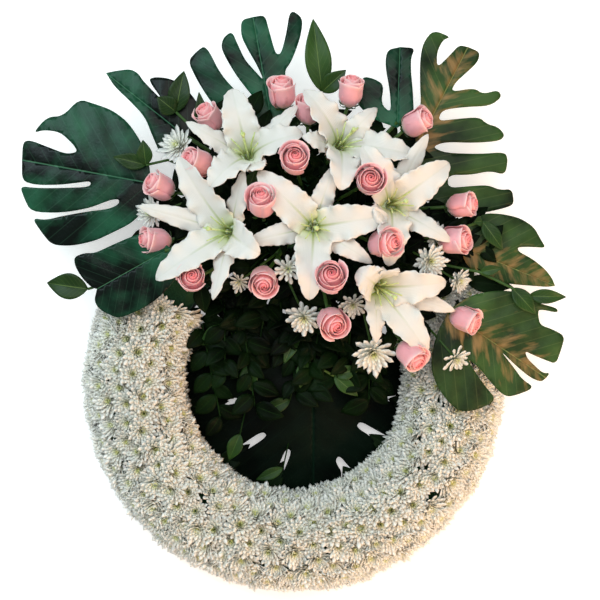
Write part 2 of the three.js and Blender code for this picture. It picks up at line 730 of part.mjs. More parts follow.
// A rose head: a cup, an outer ring of five petals and two tighter rings inside it.
function roseShape({ at, level, leans, radius }) {
  const axis = leaning(leans);
  const r = radius;
  const rows = [
    [0, -1.4 * r], [0.6 * r, -1.12 * r], [1.03 * r, -0.2 * r], [1.0 * r, 0.92 * r, 0.1],
    [0.64 * r, 0.88 * r, 0.05], [0.52 * r, 1.24 * r, 0.1, 1], [0, 1.05 * r],
  ];
  const middle = seen(at, level);
  const head = toSolid(placed(lobed(rows, 5), middle, axis, random() * Math.PI));
  const neck = middle.clone().addScaledVector(axis, -1.0 * r);
  return wholeBody(head.add(footedStem(neck, STEM_RADIUS.rose)));
}

// A lily: six recurved petals that part from a slim cup, with style and filaments.
function lilyShape({ throat, level, leans, tips }) {
  const axis = leaning(leans);
  const mouth = seen(throat, level);
  const foot = mouth.clone().addScaledVector(axis, -LILY_THROAT_DEPTH);
  const rim = mouth.clone().addScaledVector(axis, -LILY_RIM_DEPTH);
  const petals = tips.map((tip, i) => lilyPetal(mouth, rim, axis, tip, i % 2 === 0));
  const cup = rod(foot, rim, 5, LILY_CUP_RADIUS, 6);
  const collar = foot.clone().addScaledVector(axis, 3);
  return wholeBody(joined([cup, footedStem(collar, STEM_RADIUS.lily), ...petals, ...lilyHeart(rim, axis)]));
}

function lilyPetal(mouth, rim, axis, [x, y, rise], isWide) {
  const tip = seen([x, y], mouth.z + rise);
  const spread = new THREE.Vector3().subVectors(tip, mouth);
  const outward = spread.clone().addScaledVector(axis, -spread.dot(axis)).normalize();
  const reach = Math.hypot(spread.x, spread.y);
  const spare = Math.sqrt(Math.max(0, LILY_REACH * LILY_REACH - reach * reach));
  const lift = 14 + 0.42 * spare - rise * 0.4;
  const depth = isWide ? -2 : -5;
  const root = rim.clone().addScaledVector(axis, depth).addScaledVector(outward, isWide ? 7 : 9.5);
  const neck = mouth.clone().addScaledVector(outward, isWide ? 7 : 12).addScaledVector(axis, isWide ? 6 : -4);
  const shoulder = mouth.clone().addScaledVector(spread, 0.66).addScaledVector(UP, lift);
  shoulder.addScaledVector(axis, isWide ? 5 : -5);
  const line = new THREE.CubicBezierCurve3(root, neck, shoulder, tip);
  const side = new THREE.Vector3().crossVectors(axis, outward).normalize();
  const halfWidth = isWide ? LILY_WIDE_PETAL : LILY_NARROW_PETAL;
  const sheet = new THREE.PlaneGeometry(2, 1, 2, 3);
  return blade(sheet, (across, v) => {
    const t = v + 0.5;
    const width = petalWidth(t, halfWidth);
    const normal = new THREE.Vector3().crossVectors(side, line.getTangent(t)).normalize();
    const cupping = isWide ? 0.22 * width : -0.18 * width;
    const lifted = Math.abs(across) * (cupping + 0.1 * halfWidth * Math.sin(11 * t + 2 * across) * t);
    return line.getPoint(t).addScaledVector(side, across * width).addScaledVector(normal, -lifted);
  }, PETAL_THICKNESS);
}

// A petal's half-width from its foot at 0 to its tip at 1.
function petalWidth(t, widest) {
  const foot = 0.36 * LILY_CUP_RADIUS * (1 - t) * (1 - t);
  return Math.max(1.5, foot + 0.95 * widest * Math.sin(Math.PI * Math.pow(t, 0.85)));
}

function lilyHeart(rim, axis) {
  const start = rim.clone().addScaledVector(axis, -2);
  const bend = start.clone().addScaledVector(axis, LILY_STYLE);
  const stigma = bend.clone().addScaledVector(axis, 8);
  const parts = [rod(start, bend, 1.6, 1.3, 3), rod(bend, stigma, 1.3, 3.4, 5)];
  const side = new THREE.Vector3().crossVectors(axis, new THREE.Vector3(1, 0.3, 0)).normalize();
  for (let i = 0; i < LILY_FILAMENTS; i++) {
    const out = side.clone().applyAxisAngle(axis, (i * 2 * Math.PI) / LILY_FILAMENTS);
    const root = start.clone().addScaledVector(out, 4);
    const end = start.clone().addScaledVector(axis, LILY_STYLE - 8).addScaledVector(out, 19);
    parts.push(rod(root, end, 1.1, 0.8, 3));
  }
  return parts;
}

// A monstera leaf: two halves that meet along the rib, and a leaf stalk into the foam.
function monsteraShape(leaf) {
  const halves = [leaf.left, leaf.right].map((side) => {
    const outline = [leaf.base, ...side, leaf.tip];
    return new THREE.ShapeGeometry(new THREE.Shape(outline.map(([x, y]) => new THREE.Vector2(x, y))));
  });
  const sheet = sewn(halves);
  const surface = blade(sheet, (x, y) => seen([x, y], leafLevel(leaf, x, y)), LEAF_THICKNESS);
  const base = seen(leaf.base, leaf.level);
  const along = new THREE.Vector3().subVectors(seen(leaf.tip, leaf.level), base).normalize();
  const root = base.clone().addScaledVector(along, 8).addScaledVector(UP, -1);
  const foot = leaf.level > FOAM_TOP ? footedStem : lowStem;
  return wholeBody(surface.add(foot(root, STEM_RADIUS.monstera)));
}

function leafLevel(leaf, x, y) {
  const rib = [leaf.tip[0] - leaf.base[0], leaf.base[1] - leaf.tip[1]];
  const length = Math.hypot(...rib);
  const [u, v] = [(x - leaf.base[0]) * MM_PER_PIXEL, (leaf.base[1] - y) * MM_PER_PIXEL];
  const along = (u * rib[0] + v * rib[1]) / length;
  const across = (v * rib[0] - u * rib[1]) / length;
  const fall = leaf.droop * along * along + leaf.curl * across * across;
  return leaf.level + leaf.slope * along + leaf.tilt * across - fall;
}

// Two flat halves whose triangles face the same way.
function sewn(halves) {
  const points = [];
  for (const half of halves) {
    const flat = half.toNonIndexed().attributes.position;
    for (let i = 0; i < flat.count; i += 3) {
      const corners = [0, 1, 2].map((k) => [flat.getX(i + k), flat.getY(i + k)]);
      const [[ax, ay], [bx, by], [cx, cy]] = corners;
      const turn = (bx - ax) * (cy - ay) - (by - ay) * (cx - ax);
      const order = turn < 0 ? corners : [corners[0], corners[2], corners[1]];
      order.forEach(([x, y]) => points.push(x, y, 0));
    }
  }
  const sheet = new THREE.BufferGeometry();
  sheet.setAttribute("position", new THREE.Float32BufferAttribute(points, 3));
  return sheet;
}

function sprayMumShape({ fork, heads }) {
  const parting = seenAt(fork);
  const parts = [footedStem(parting, STEM_RADIUS.mum)];
  for (const { at, level, radius, leans } of heads) {
    const axis = leaning(leans);
    const middle = seen(at, level);
    const r = radius;
    const rows = [
      [0, -0.45 * r], [1.0 * r, 0, 0.24], [0.5 * r, 0.34 * r, 0.2, 1], [0, 0.3 * r],
    ];
    parts.push(toSolid(placed(lobed(rows, 8), middle, axis, random() * Math.PI)));
    parts.push(rod(parting, middle.clone().addScaledVector(axis, -0.3 * r), 2.3, 2, STEM_SIDES));
  }
  return wholeBody(joined(parts));
}

function sprigShape({ stem, leaves }) {
  const points = stem.map(seenAt);
  const foot = points[0].z < FOAM_TOP ? lowStem : footedStem;
  const parts = [foot(points[0], STEM_RADIUS.sprig)];
  for (let i = 1; i < points.length; i++) {
    const back = new THREE.Vector3().subVectors(points[i - 1], points[i]).normalize();
    parts.push(rod(points[i - 1].clone().addScaledVector(back, 1.5), points[i], 2.1, 1.9, STEM_SIDES));
  }
  for (const [from, tip, width] of leaves) parts.push(sprigLeaf(seenAt(from), seenAt(tip), width));
  return wholeBody(joined(parts));
}

// A pointed oval leaf with a fold along its rib.
function sprigLeaf(from, tip, width) {
  const along = new THREE.Vector3().subVectors(tip, from);
  const side = new THREE.Vector3().crossVectors(UP, along).normalize();
  const out = new THREE.Vector3().crossVectors(along, side).normalize();
  const sheet = new THREE.PlaneGeometry(2, 1, 2, 3);
  return blade(sheet, (across, v) => {
    const t = v + 0.5;
    const half = 0.5 * width * (0.07 + 0.93 * Math.sin(Math.PI * Math.pow(t, 0.8)));
    const bow = 0.08 * along.length() * Math.sin(Math.PI * t) + 0.25 * half * Math.abs(across);
    const point = from.clone().addScaledVector(along, t).addScaledVector(side, across * half);
    return point.addScaledVector(out, bow);
  }, LEAF_THICKNESS);
}

// Each later piece gives way to the earlier ones that it would touch.
const pieces = [];

function addPiece(name, finish, shape, others = pieces) {
  const near = others.filter((earlier) => boxesMeet(shape.boundingBox(), earlier.box));
  let body = near.reduce((rest, earlier) => rest.subtract(earlier.room), shape);
  body = wholeBody(body.simplify(TIDY));
  for (const earlier of near) {
    if (body.intersect(earlier.body).volume() > 0) body = wholeBody(shiftedCut(body, earlier.body));
  }
  pieces.push({ name, finish, body, box: body.boundingBox(), room: swollen(body, CLEARANCE) });
}

// A cut by the other body, shifted both ways along each axis, for the sharpest tips.
function shiftedCut(body, other) {
  let rest = body;
  for (const shift of [-CLEARANCE, CLEARANCE]) {
    for (const axis of [0, 1, 2]) {
      rest = rest.subtract(other.translate([0, 1, 2].map((k) => (k === axis ? shift : 0))));
    }
  }
  return rest;
}

// Foam with a plain hole for each stem that stands in it.
function addFoam(name, shape) {
  const block = shape.boundingBox();
  let body = shape;
  for (const { start, end, radius } of stemHoles) {
    const hole = rod(start, end, radius, radius, STEM_SIDES);
    if (boxesMeet(block, hole.boundingBox())) body = body.subtract(hole);
  }
  pieces.push({ name, finish: "foam", body: wholeBody(body.simplify(TIDY)) });
}

function boxesMeet(a, b) {
  return [0, 1, 2].every((axis) => a.min[axis] < b.max[axis] + 1 && b.min[axis] < a.max[axis] + 1);
}

ROSES.forEach((rose, i) => {
  addPiece(`rose_${String(i + 1).padStart(2, "0")}`, "rose", roseShape(rose));
});
LILIES.forEach((lily) => addPiece(lily.name, "lily", lilyShape(lily)));
SPRAY_MUMS.forEach((bunch) => addPiece(bunch.name, "mum", sprayMumShape(bunch)));
SPRIGS.forEach((sprig) => addPiece(sprig.name, "sprig", sprigShape(sprig)));
MONSTERAS.forEach((leaf) => addPiece(leaf.name, "monstera", monsteraShape(leaf)));
const sprayPieces = [...pieces];
for (let i = 0; i < SECTOR_COUNT; i++) addPiece(`ring_mums_${i + 1}`, "mum", coverSector(i), sprayPieces);
addFoam("spray_foam", foamBlockShape());
addFoam("foam_ring", foamRingShape());
pieces.push({ name: "ring_tray", finish: "tray", body: trayShape() });

// The origin is under the middle of the whole wreath's box, on the surface it lies on.
const wreath = new THREE.Group();
for (const { name, finish, body } of pieces) {
  const mesh = new THREE.Mesh(toGeometry(body), new THREE.MeshStandardMaterial(COLOURS[finish]));
  mesh.name = name;
  wreath.add(mesh);
}
const extent = new THREE.Box3().setFromObject(wreath);
const middle = extent.getCenter(new THREE.Vector3());
wreath.position.set(-middle.x, -middle.y, 0);
wreath.updateMatrixWorld(true);

export default wreath;
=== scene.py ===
# %% [markdown]
# A funeral wreath lies on its flat back: a ring of white chrysanthemum heads, with a
# spray of lilies, roses and large cut leaves over its top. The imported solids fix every
# size and place, and this script dresses them: each solid flower or leaf is replaced by
# a finer one that keeps its form, and the foam and the tray keep their own solids.

import json
import math
import random

import bpy
from mathutils import Matrix, Quaternion, Vector
from mathutils.geometry import delaunay_2d_cdt

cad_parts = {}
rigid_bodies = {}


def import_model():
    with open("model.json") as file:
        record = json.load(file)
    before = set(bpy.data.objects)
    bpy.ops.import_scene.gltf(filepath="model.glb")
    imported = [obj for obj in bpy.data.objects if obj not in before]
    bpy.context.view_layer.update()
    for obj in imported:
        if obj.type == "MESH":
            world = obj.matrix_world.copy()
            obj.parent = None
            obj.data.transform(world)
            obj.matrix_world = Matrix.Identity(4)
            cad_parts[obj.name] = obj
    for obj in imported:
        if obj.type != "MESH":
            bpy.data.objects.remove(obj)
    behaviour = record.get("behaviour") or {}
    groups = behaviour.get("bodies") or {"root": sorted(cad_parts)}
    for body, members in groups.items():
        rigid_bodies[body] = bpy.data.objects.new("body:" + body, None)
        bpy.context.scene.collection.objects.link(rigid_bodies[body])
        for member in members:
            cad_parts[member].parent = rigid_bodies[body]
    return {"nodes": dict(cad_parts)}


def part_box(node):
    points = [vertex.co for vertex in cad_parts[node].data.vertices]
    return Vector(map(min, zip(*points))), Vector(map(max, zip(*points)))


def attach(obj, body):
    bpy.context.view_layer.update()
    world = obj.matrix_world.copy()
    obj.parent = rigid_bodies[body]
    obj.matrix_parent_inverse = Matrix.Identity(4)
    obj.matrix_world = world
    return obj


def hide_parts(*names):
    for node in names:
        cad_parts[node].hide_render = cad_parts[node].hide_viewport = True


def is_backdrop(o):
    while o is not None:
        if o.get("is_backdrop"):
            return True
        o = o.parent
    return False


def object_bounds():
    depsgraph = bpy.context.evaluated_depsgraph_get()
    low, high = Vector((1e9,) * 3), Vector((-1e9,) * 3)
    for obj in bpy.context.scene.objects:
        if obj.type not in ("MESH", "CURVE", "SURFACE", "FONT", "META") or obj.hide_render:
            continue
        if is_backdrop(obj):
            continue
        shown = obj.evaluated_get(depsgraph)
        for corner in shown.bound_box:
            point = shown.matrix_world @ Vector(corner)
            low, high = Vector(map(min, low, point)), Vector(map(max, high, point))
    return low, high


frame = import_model()
CAD_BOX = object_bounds()
MM = 0.001
scene = bpy.context.scene
print("solids:", len(frame["nodes"]))

# %% [markdown]
# A flower that is placed by its pixel in the picture has to sit where the solid sits.
# The camera looks straight down from 2.5 m, so a pixel spans fewer millimetres on a
# higher flower. The same small function serves the camera, the blooms and the leaves.

# %% From a pixel and a level to a point in millimetres
MM_PER_PIXEL = 1.4
SCALE_LEVEL = 60
EYE_HEIGHT = 2500
PICTURE_MIDDLE = 300
RING_IN_PICTURE = (294, 381)
RING_RADIUS = 224
FOAM_HALF_WIDTH = 44
FOAM_TOP = 60
UP = Vector((0, 0, 1))

tray_low, tray_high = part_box("ring_tray")
RING = Vector((tray_low[0] + tray_high[0], tray_low[1] + tray_high[1], 0)) / (2 * MM)
ring_x, ring_y = RING_IN_PICTURE
EYE = RING + MM_PER_PIXEL * Vector((PICTURE_MIDDLE - ring_x, ring_y - PICTURE_MIDDLE, 0))
# Every stem of the spray aims at the heart of the foam block, and starts this far from it.
HEART = RING + Vector((22, 232, 62))
STEM_START = 44


def seen(x, y, level):
    scale = MM_PER_PIXEL * (EYE_HEIGHT - level) / (EYE_HEIGHT - SCALE_LEVEL)
    return Vector((EYE.x + (x - PICTURE_MIDDLE) * scale, EYE.y + (PICTURE_MIDDLE - y) * scale, level))


def leaning(x, y):
    return Vector((x, y, math.sqrt(1 - x * x - y * y)))


print("ring centre, mm:", [round(v, 1) for v in RING], "eye over, mm:", [round(v, 1) for v in EYE])

# %% [markdown]
# Petals and leaves are thin sheets, and stems are tubes. Both could be drawn by hand,
# but each follows a rule, so a sheet is laid out as a grid of two numbers and then
# placed by a function, and it carries those two numbers along for its veins and tints.

# %% Sheets, tubes and the joining of parts
STEM_SIDES = 8
STEM_RADII = {"rose": 2.2, "lily": 3.0, "chrysanthemum": 2.0, "monstera_leaf": 2.4, "sprig_leaf": 1.7}


class Parts:
    """Vertices in millimetres and faces that grow into one mesh, with two values a point."""

    def __init__(self):
        self.points, self.faces, self.along, self.across, self.slots = [], [], [], [], []

    def add(self, points, faces, along, across, slot=0):
        first = len(self.points)
        self.points += points
        self.faces += [[first + i for i in face] for face in faces]
        self.along += along
        self.across += across
        self.slots += [slot] * len(faces)

    def sheet(self, place, columns, rows, slot=0):
        """A sheet whose place is a function of across, -1 to 1, and along, 0 to 1."""
        points, along, across = [], [], []
        for j in range(rows + 1):
            for i in range(columns + 1):
                s, t = 2 * i / columns - 1, j / rows
                points.append(place(s, t))
                along.append(t)
                across.append(s)
        wide = columns + 1
        faces = [
            [j * wide + i, j * wide + i + 1, (j + 1) * wide + i + 1, (j + 1) * wide + i]
            for j in range(rows) for i in range(columns)
        ]
        self.add(points, faces, along, across, slot)

    def tube(self, path, radii, slot=0, sides=STEM_SIDES):
        """A closed round tube along a path of points, with one radius or one for each point."""
        if not isinstance(radii, list):
            radii = [radii] * len(path)
        points, along = [], []
        normal = (path[1] - path[0]).orthogonal().normalized()
        for k, middle in enumerate(path):
            ahead = (path[min(k + 1, len(path) - 1)] - path[max(k - 1, 0)]).normalized()
            normal = (normal - ahead * normal.dot(ahead)).normalized()
            side = ahead.cross(normal)
            for i in range(sides):
                turn = 2 * math.pi * i / sides
                points.append(middle + radii[k] * (math.cos(turn) * normal + math.sin(turn) * side))
                along.append(k / (len(path) - 1))
        rings = [[k * sides + i for i in range(sides)] for k in range(len(path))]
        faces = [
            [low[i], low[(i + 1) % sides], high[(i + 1) % sides], high[i]]
            for low, high in zip(rings, rings[1:]) for i in range(sides)
        ]
        faces += [rings[0][::-1], rings[-1]]
        self.add(points, faces, along, [0.0] * len(points), slot)

    def to_object(self, name, materials, thickness=0.0):
        mesh = bpy.data.meshes.new(name)
        mesh.from_pydata([point * MM for point in self.points], [], self.faces)
        for title, values in (("along", self.along), ("across", self.across)):
            mesh.attributes.new(title, "FLOAT", "POINT").data.foreach_set("value", values)
        for finish in materials:
            mesh.materials.append(finish)
        mesh.polygons.foreach_set("material_index", self.slots)
        mesh.polygons.foreach_set("use_smooth", [True] * len(self.faces))
        piece = bpy.data.objects.new(name, mesh)
        scene.collection.objects.link(piece)
        if thickness:
            wall = piece.modifiers.new("thickness", "SOLIDIFY")
            wall.thickness = thickness * MM
            wall.offset = 0
        return piece


def footed_path(end):
    """A stem's path from inside the foam block to a point, aimed away from its heart."""
    along = (end - HEART).normalized()
    start = HEART + along * STEM_START
    return [start.lerp(end, k / 6) for k in range(7)]


LOW_STEM_DEPTH, LOW_STEM_LEVEL, LOW_STEM_LEAN = 22, 44, 0.9


def low_path(end):
    """A stem's path in the ring's eye, from the inner side of the foam ring."""
    start_x = LOW_STEM_LEAN * (end.x - RING.x)
    start = RING + Vector((start_x, RING_RADIUS - FOAM_HALF_WIDTH + LOW_STEM_DEPTH, LOW_STEM_LEVEL))
    return [start.lerp(end, k / 4) for k in range(5)]


def triangles(piece):
    return sum(len(face.vertices) - 2 for face in piece.data.polygons)


def finish_piece(piece, node):
    """Lets a piece ride on the wreath's one body in place of its solid."""
    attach(piece, "root")
    if node:
        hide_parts(node)


print("stem sides:", STEM_SIDES)

# %% [markdown]
# Every finish is a node tree. One function adds a node with its settings and links, and
# another turns the hex colours that people read into the linear values that light needs.

# %% Colours and nodes
def linear(code):
    values = [int(code[i:i + 2], 16) / 255 for i in (1, 3, 5)]
    return [v / 12.92 if v <= 0.04045 else ((v + 0.055) / 1.055) ** 2.4 for v in values] + [1.0]


def add(tree, kind, inputs=None, stops=None, **settings):
    """Adds a node. An input takes a value, a socket, or a node for its first output."""
    node = tree.nodes.new(kind)
    for name, value in settings.items():
        setattr(node, name, value)
    for name, value in (inputs or {}).items():
        if isinstance(value, bpy.types.Node):
            value = value.outputs[0]
        if isinstance(value, bpy.types.NodeSocket):
            tree.links.new(value, node.inputs[name])
        else:
            node.inputs[name].default_value = value
    for i, (position, code) in enumerate(stops or []):
        elements = node.color_ramp.elements
        element = elements[i] if i < 2 else elements.new(position)
        element.position = position
        element.color = linear(code)
    return node


def new_finish(name, **values):
    """A material with one surface shader, whose uniform values are set on its own sockets."""
    finish = bpy.data.materials.new(name)
    finish.use_nodes = True
    tree = finish.node_tree
    shader = tree.nodes["Principled BSDF"]
    for socket, value in values.items():
        shader.inputs[socket.replace("_", " ")].default_value = value
    return finish, tree, shader


print("mid grey in linear light:", round(linear("#808080")[0], 3))

# %% [markdown]
# Fresh petals are wet plant tissue under a waxy skin: IOR about 1.4, a soft sheen, and
# some light that passes in and scatters. A lily's petal is white with a green throat
# and a faint green midrib, so its colour follows the sheet's own two numbers.

# %% Lily petal, fresh and satin
LILY_WHITE, LILY_THROAT, LILY_RIB, LILY_STREAK = "#dfdbd3", "#a3b552", "#d2d9b0", "#93a73e"
lily_finish, tree, shader = new_finish(
    "fresh lily petal", Roughness=0.45, IOR=1.4, Subsurface_Weight=0.25, Subsurface_Scale=0.004,
    Sheen_Weight=0.1)
shader.inputs["Subsurface Radius"].default_value = (1.0, 0.9, 0.7)
along = add(tree, "ShaderNodeAttribute", attribute_name="along").outputs["Fac"]
across = add(tree, "ShaderNodeAttribute", attribute_name="across").outputs["Fac"]
length_tint = add(tree, "ShaderNodeValToRGB", {"Fac": along},
                  stops=[(0.03, LILY_THROAT), (0.14, LILY_RIB), (0.32, LILY_WHITE)])
from_rib = add(tree, "ShaderNodeMath", {0: across}, operation="ABSOLUTE")
rib = add(tree, "ShaderNodeMapRange", {"Value": from_rib, "From Min": 0.01, "From Max": 0.11,
                                       "To Min": 0.85, "To Max": 0.0})
fading = add(tree, "ShaderNodeMapRange", {"Value": along, "From Min": 0.15, "From Max": 0.6,
                                          "To Min": 1.0, "To Max": 0.08})
rib_share = add(tree, "ShaderNodeMath", {0: rib, 1: fading}, operation="MULTIPLY")
tint = add(tree, "ShaderNodeMix", {"Factor": rib_share, 6: length_tint, 7: linear(LILY_STREAK)},
           data_type="RGBA")
# Fine ribs run along a petal, about 2 mm apart on a wide one.
ribs = add(tree, "ShaderNodeMath", {0: across, 1: 70.0}, operation="MULTIPLY")
wave = add(tree, "ShaderNodeMath", {0: ribs}, operation="SINE")
place = add(tree, "ShaderNodeTexCoord").outputs["Object"]
grain = add(tree, "ShaderNodeTexNoise", {"Vector": place, "Scale": 260.0, "Detail": 3.0})
relief = add(tree, "ShaderNodeMath", {0: wave, 1: 0.4, 2: grain}, operation="MULTIPLY_ADD")
tree.links.new(tint.outputs[2], shader.inputs["Base Color"])
bump = add(tree, "ShaderNodeBump", {"Height": relief, "Strength": 0.25, "Distance": 0.0006})
tree.links.new(bump.outputs[0], shader.inputs["Normal"])
print("finish:", lily_finish.name)

# %% [markdown]
# A rose petal is thinner and velvety. It is palest along its rolled lip and deepest
# near the foot and in the heart of the bloom, where light passes through many petals.

# %% Rose petal, fresh and velvety
rose_finish, tree, shader = new_finish(
    "fresh rose petal", Roughness=0.55, IOR=1.4, Subsurface_Weight=0.2, Subsurface_Scale=0.003,
    Sheen_Weight=0.35)
shader.inputs["Subsurface Radius"].default_value = (1.0, 0.4, 0.4)
along = add(tree, "ShaderNodeAttribute", attribute_name="along").outputs["Fac"]
heart = add(tree, "ShaderNodeAttribute", attribute_name="across").outputs["Fac"]
outer = add(tree, "ShaderNodeValToRGB", {"Fac": along},
            stops=[(0.0, "#dfc0a8"), (0.3, "#ea9ba3"), (0.8, "#f2a7ad"), (1.0, "#f8c9c8")])
inner = add(tree, "ShaderNodeValToRGB", {"Fac": along},
            stops=[(0.0, "#cf4452"), (0.6, "#e4616c"), (1.0, "#f28d91")])
tint = add(tree, "ShaderNodeMix", {"Factor": heart, 6: outer, 7: inner}, data_type="RGBA")
place = add(tree, "ShaderNodeTexCoord").outputs["Object"]
mottle = add(tree, "ShaderNodeTexNoise", {"Vector": place, "Scale": 90.0, "Detail": 4.0})
shade = add(tree, "ShaderNodeMapRange", {"Value": mottle, "From Min": 0.3, "From Max": 0.7,
                                         "To Min": 0.93, "To Max": 1.04})
toned = add(tree, "ShaderNodeVectorMath", {0: tint.outputs[2], "Scale": shade}, operation="SCALE")
tree.links.new(toned.outputs[0], shader.inputs["Base Color"])
bump = add(tree, "ShaderNodeBump", {"Height": mottle, "Strength": 0.2, "Distance": 0.0005})
tree.links.new(bump.outputs[0], shader.inputs["Normal"])
print("finish:", rose_finish.name)

# %% [markdown]
# A chrysanthemum head is one mesh with one finish: each petal carries its place in the
# whorl, from 0 in the heart to 1 outside, and the green cup below the petals carries
# a negative number. The colour follows that number.

# %% Chrysanthemum petal, fresh and matt
mum_finish, tree, shader = new_finish(
    "fresh chrysanthemum petal", Roughness=0.6, IOR=1.4, Subsurface_Weight=0.5, Subsurface_Scale=0.004)
shader.inputs["Subsurface Radius"].default_value = (1.0, 0.95, 0.85)
whorl = add(tree, "ShaderNodeAttribute", attribute_name="whorl").outputs["Fac"]
along = add(tree, "ShaderNodeAttribute", attribute_name="along").outputs["Fac"]
petal = add(tree, "ShaderNodeValToRGB", {"Fac": whorl},
            stops=[(0.0, "#d6dc72"), (0.13, "#e9ebb0"), (0.3, "#f6f5e6"), (1.0, "#f7f7f0")])
# The petals' feet turn a greener cream: partly their own green base, partly painted shade where they crowd
# into the cup.
foot = add(tree, "ShaderNodeMapRange", {"Value": along, "From Min": 0.0, "From Max": 0.45,
                                        "To Min": 0.5, "To Max": 0.0})
shaded = add(tree, "ShaderNodeMix", {"Factor": foot, 6: petal, 7: linear("#e4e6c0")}, data_type="RGBA")
is_cup = add(tree, "ShaderNodeMath", {0: whorl, 1: -0.5}, operation="LESS_THAN")
tint = add(tree, "ShaderNodeMix", {"Factor": is_cup, 6: shaded.outputs[2], 7: linear("#3f5a2c")},
           data_type="RGBA")
place = add(tree, "ShaderNodeTexCoord").outputs["Object"]
grain = add(tree, "ShaderNodeTexNoise", {"Vector": place, "Scale": 500.0, "Detail": 2.0})
tree.links.new(tint.outputs[2], shader.inputs["Base Color"])
bump = add(tree, "ShaderNodeBump", {"Height": grain, "Strength": 0.2, "Distance": 0.0004})
tree.links.new(bump.outputs[0], shader.inputs["Normal"])
print("finish:", mum_finish.name)

# %% [markdown]
# The style and the stamen threads of a lily are a pale, wet green, and the outside of its
# trumpet is white with a green foot. Both are plain, so a slow noise varies them.

# %% Lily throat, style and trumpet
def plant_skin(name, dark, light, roughness):
    finish, tree, shader = new_finish(name, Roughness=roughness, IOR=1.4, Subsurface_Weight=0.15,
                                      Subsurface_Scale=0.002)
    place = add(tree, "ShaderNodeTexCoord").outputs["Object"]
    cloud = add(tree, "ShaderNodeTexNoise", {"Vector": place, "Scale": 120.0, "Detail": 3.0})
    tint = add(tree, "ShaderNodeValToRGB", {"Fac": cloud}, stops=[(0.3, dark), (0.7, light)])
    tree.links.new(tint.outputs[0], shader.inputs["Base Color"])
    bump = add(tree, "ShaderNodeBump", {"Height": cloud, "Strength": 0.2, "Distance": 0.0004})
    tree.links.new(bump.outputs[0], shader.inputs["Normal"])
    print("finish:", name)
    return finish


lily_heart_finish = plant_skin("wet lily style", "#aebf6e", "#d5dda4", 0.35)
lily_cup_finish = plant_skin("lily trumpet", "#cdd7a4", "#eef0dc", 0.45)

# %% [markdown]
# Monstera leaves are thick and leathery with a waxy cuticle, so they are dark and glossy,
# with paler veins that leave the rib about every 20 mm. The smaller leaves of the sprigs
# are thinner and a brighter green. The filling leaves and the leaves in the ring's eye are
# painted darker copies, as painted shade. One recipe serves all of them, and the stems,
# with its own colours, veins and gloss for each.

# %% Leaves, waxed and leathery
def leaf_finish(name, dark, light, vein, roughness, vein_count=8.0, vein_lean=0.3, vein_share=0.3,
                gloss=0.3, rib_half=0.02, streak_colour=None):
    finish, tree, shader = new_finish(name, Roughness=roughness, IOR=1.45, Specular_IOR_Level=gloss,
                                      Coat_Weight=0.3 * gloss, Coat_Roughness=0.25)
    along = add(tree, "ShaderNodeAttribute", attribute_name="along").outputs["Fac"]
    across = add(tree, "ShaderNodeAttribute", attribute_name="across").outputs["Fac"]
    from_rib = add(tree, "ShaderNodeMath", {0: across}, operation="ABSOLUTE")
    slant = add(tree, "ShaderNodeMath", {0: from_rib, 1: -vein_lean, 2: along}, operation="MULTIPLY_ADD")
    phase = add(tree, "ShaderNodeMath", {0: slant, 1: vein_count}, operation="MULTIPLY")
    cell = add(tree, "ShaderNodeMath", {0: phase, 1: 0.5}, operation="PINGPONG")
    side_vein = add(tree, "ShaderNodeMapRange", {"Value": cell, "From Min": 0.0, "From Max": 0.06,
                                                 "To Min": vein_share, "To Max": 0.0})
    rib = add(tree, "ShaderNodeMapRange", {"Value": from_rib, "From Min": rib_half, "From Max": 2 * rib_half,
                                           "To Min": 0.8, "To Max": 0.0})
    veins = add(tree, "ShaderNodeMath", {0: side_vein, 1: rib}, operation="MAXIMUM")
    place = add(tree, "ShaderNodeTexCoord").outputs["Object"]
    patch = add(tree, "ShaderNodeTexNoise", {"Vector": place, "Scale": 13.0, "Detail": 4.0})
    ground = add(tree, "ShaderNodeValToRGB", {"Fac": patch}, stops=[(0.38, dark), (0.66, light)])
    tint = add(tree, "ShaderNodeMix", {"Factor": veins, 6: ground, 7: linear(vein)}, data_type="RGBA")
    colour = tint.outputs[2]
    if streak_colour:
        # Golden-brown streaks spread from the rib along the side veins, each a finger wide.
        streak = add(tree, "ShaderNodeCombineXYZ", {"X": slant, "Y": across})
        stretched = add(tree, "ShaderNodeVectorMath", {0: streak, 1: (11.0, 2.6, 1.0)},
                        operation="MULTIPLY")
        blotch = add(tree, "ShaderNodeTexNoise", {"Vector": stretched, "Scale": 1.0, "Detail": 5.0})
        near_rib = add(tree, "ShaderNodeMath", {0: from_rib, 1: -0.5, 2: blotch},
                       operation="MULTIPLY_ADD")
        streak_share = add(tree, "ShaderNodeMapRange", {"Value": near_rib, "From Min": 0.4, "From Max": 0.58,
                                                     "To Min": 0.0, "To Max": 0.7})
        streaked = add(tree, "ShaderNodeMix", {"Factor": streak_share, 6: colour, 7: linear(streak_colour)},
                    data_type="RGBA")
        colour = streaked.outputs[2]
    tree.links.new(colour, shader.inputs["Base Color"])
    pores = add(tree, "ShaderNodeTexNoise", {"Vector": place, "Scale": 300.0, "Detail": 2.0})
    height = add(tree, "ShaderNodeMath", {0: veins, 1: -1.0, 2: pores}, operation="MULTIPLY_ADD")
    bump = add(tree, "ShaderNodeBump", {"Height": height, "Strength": 0.35, "Distance": 0.0008})
    tree.links.new(bump.outputs[0], shader.inputs["Normal"])
    print("finish:", finish.name)
    return finish


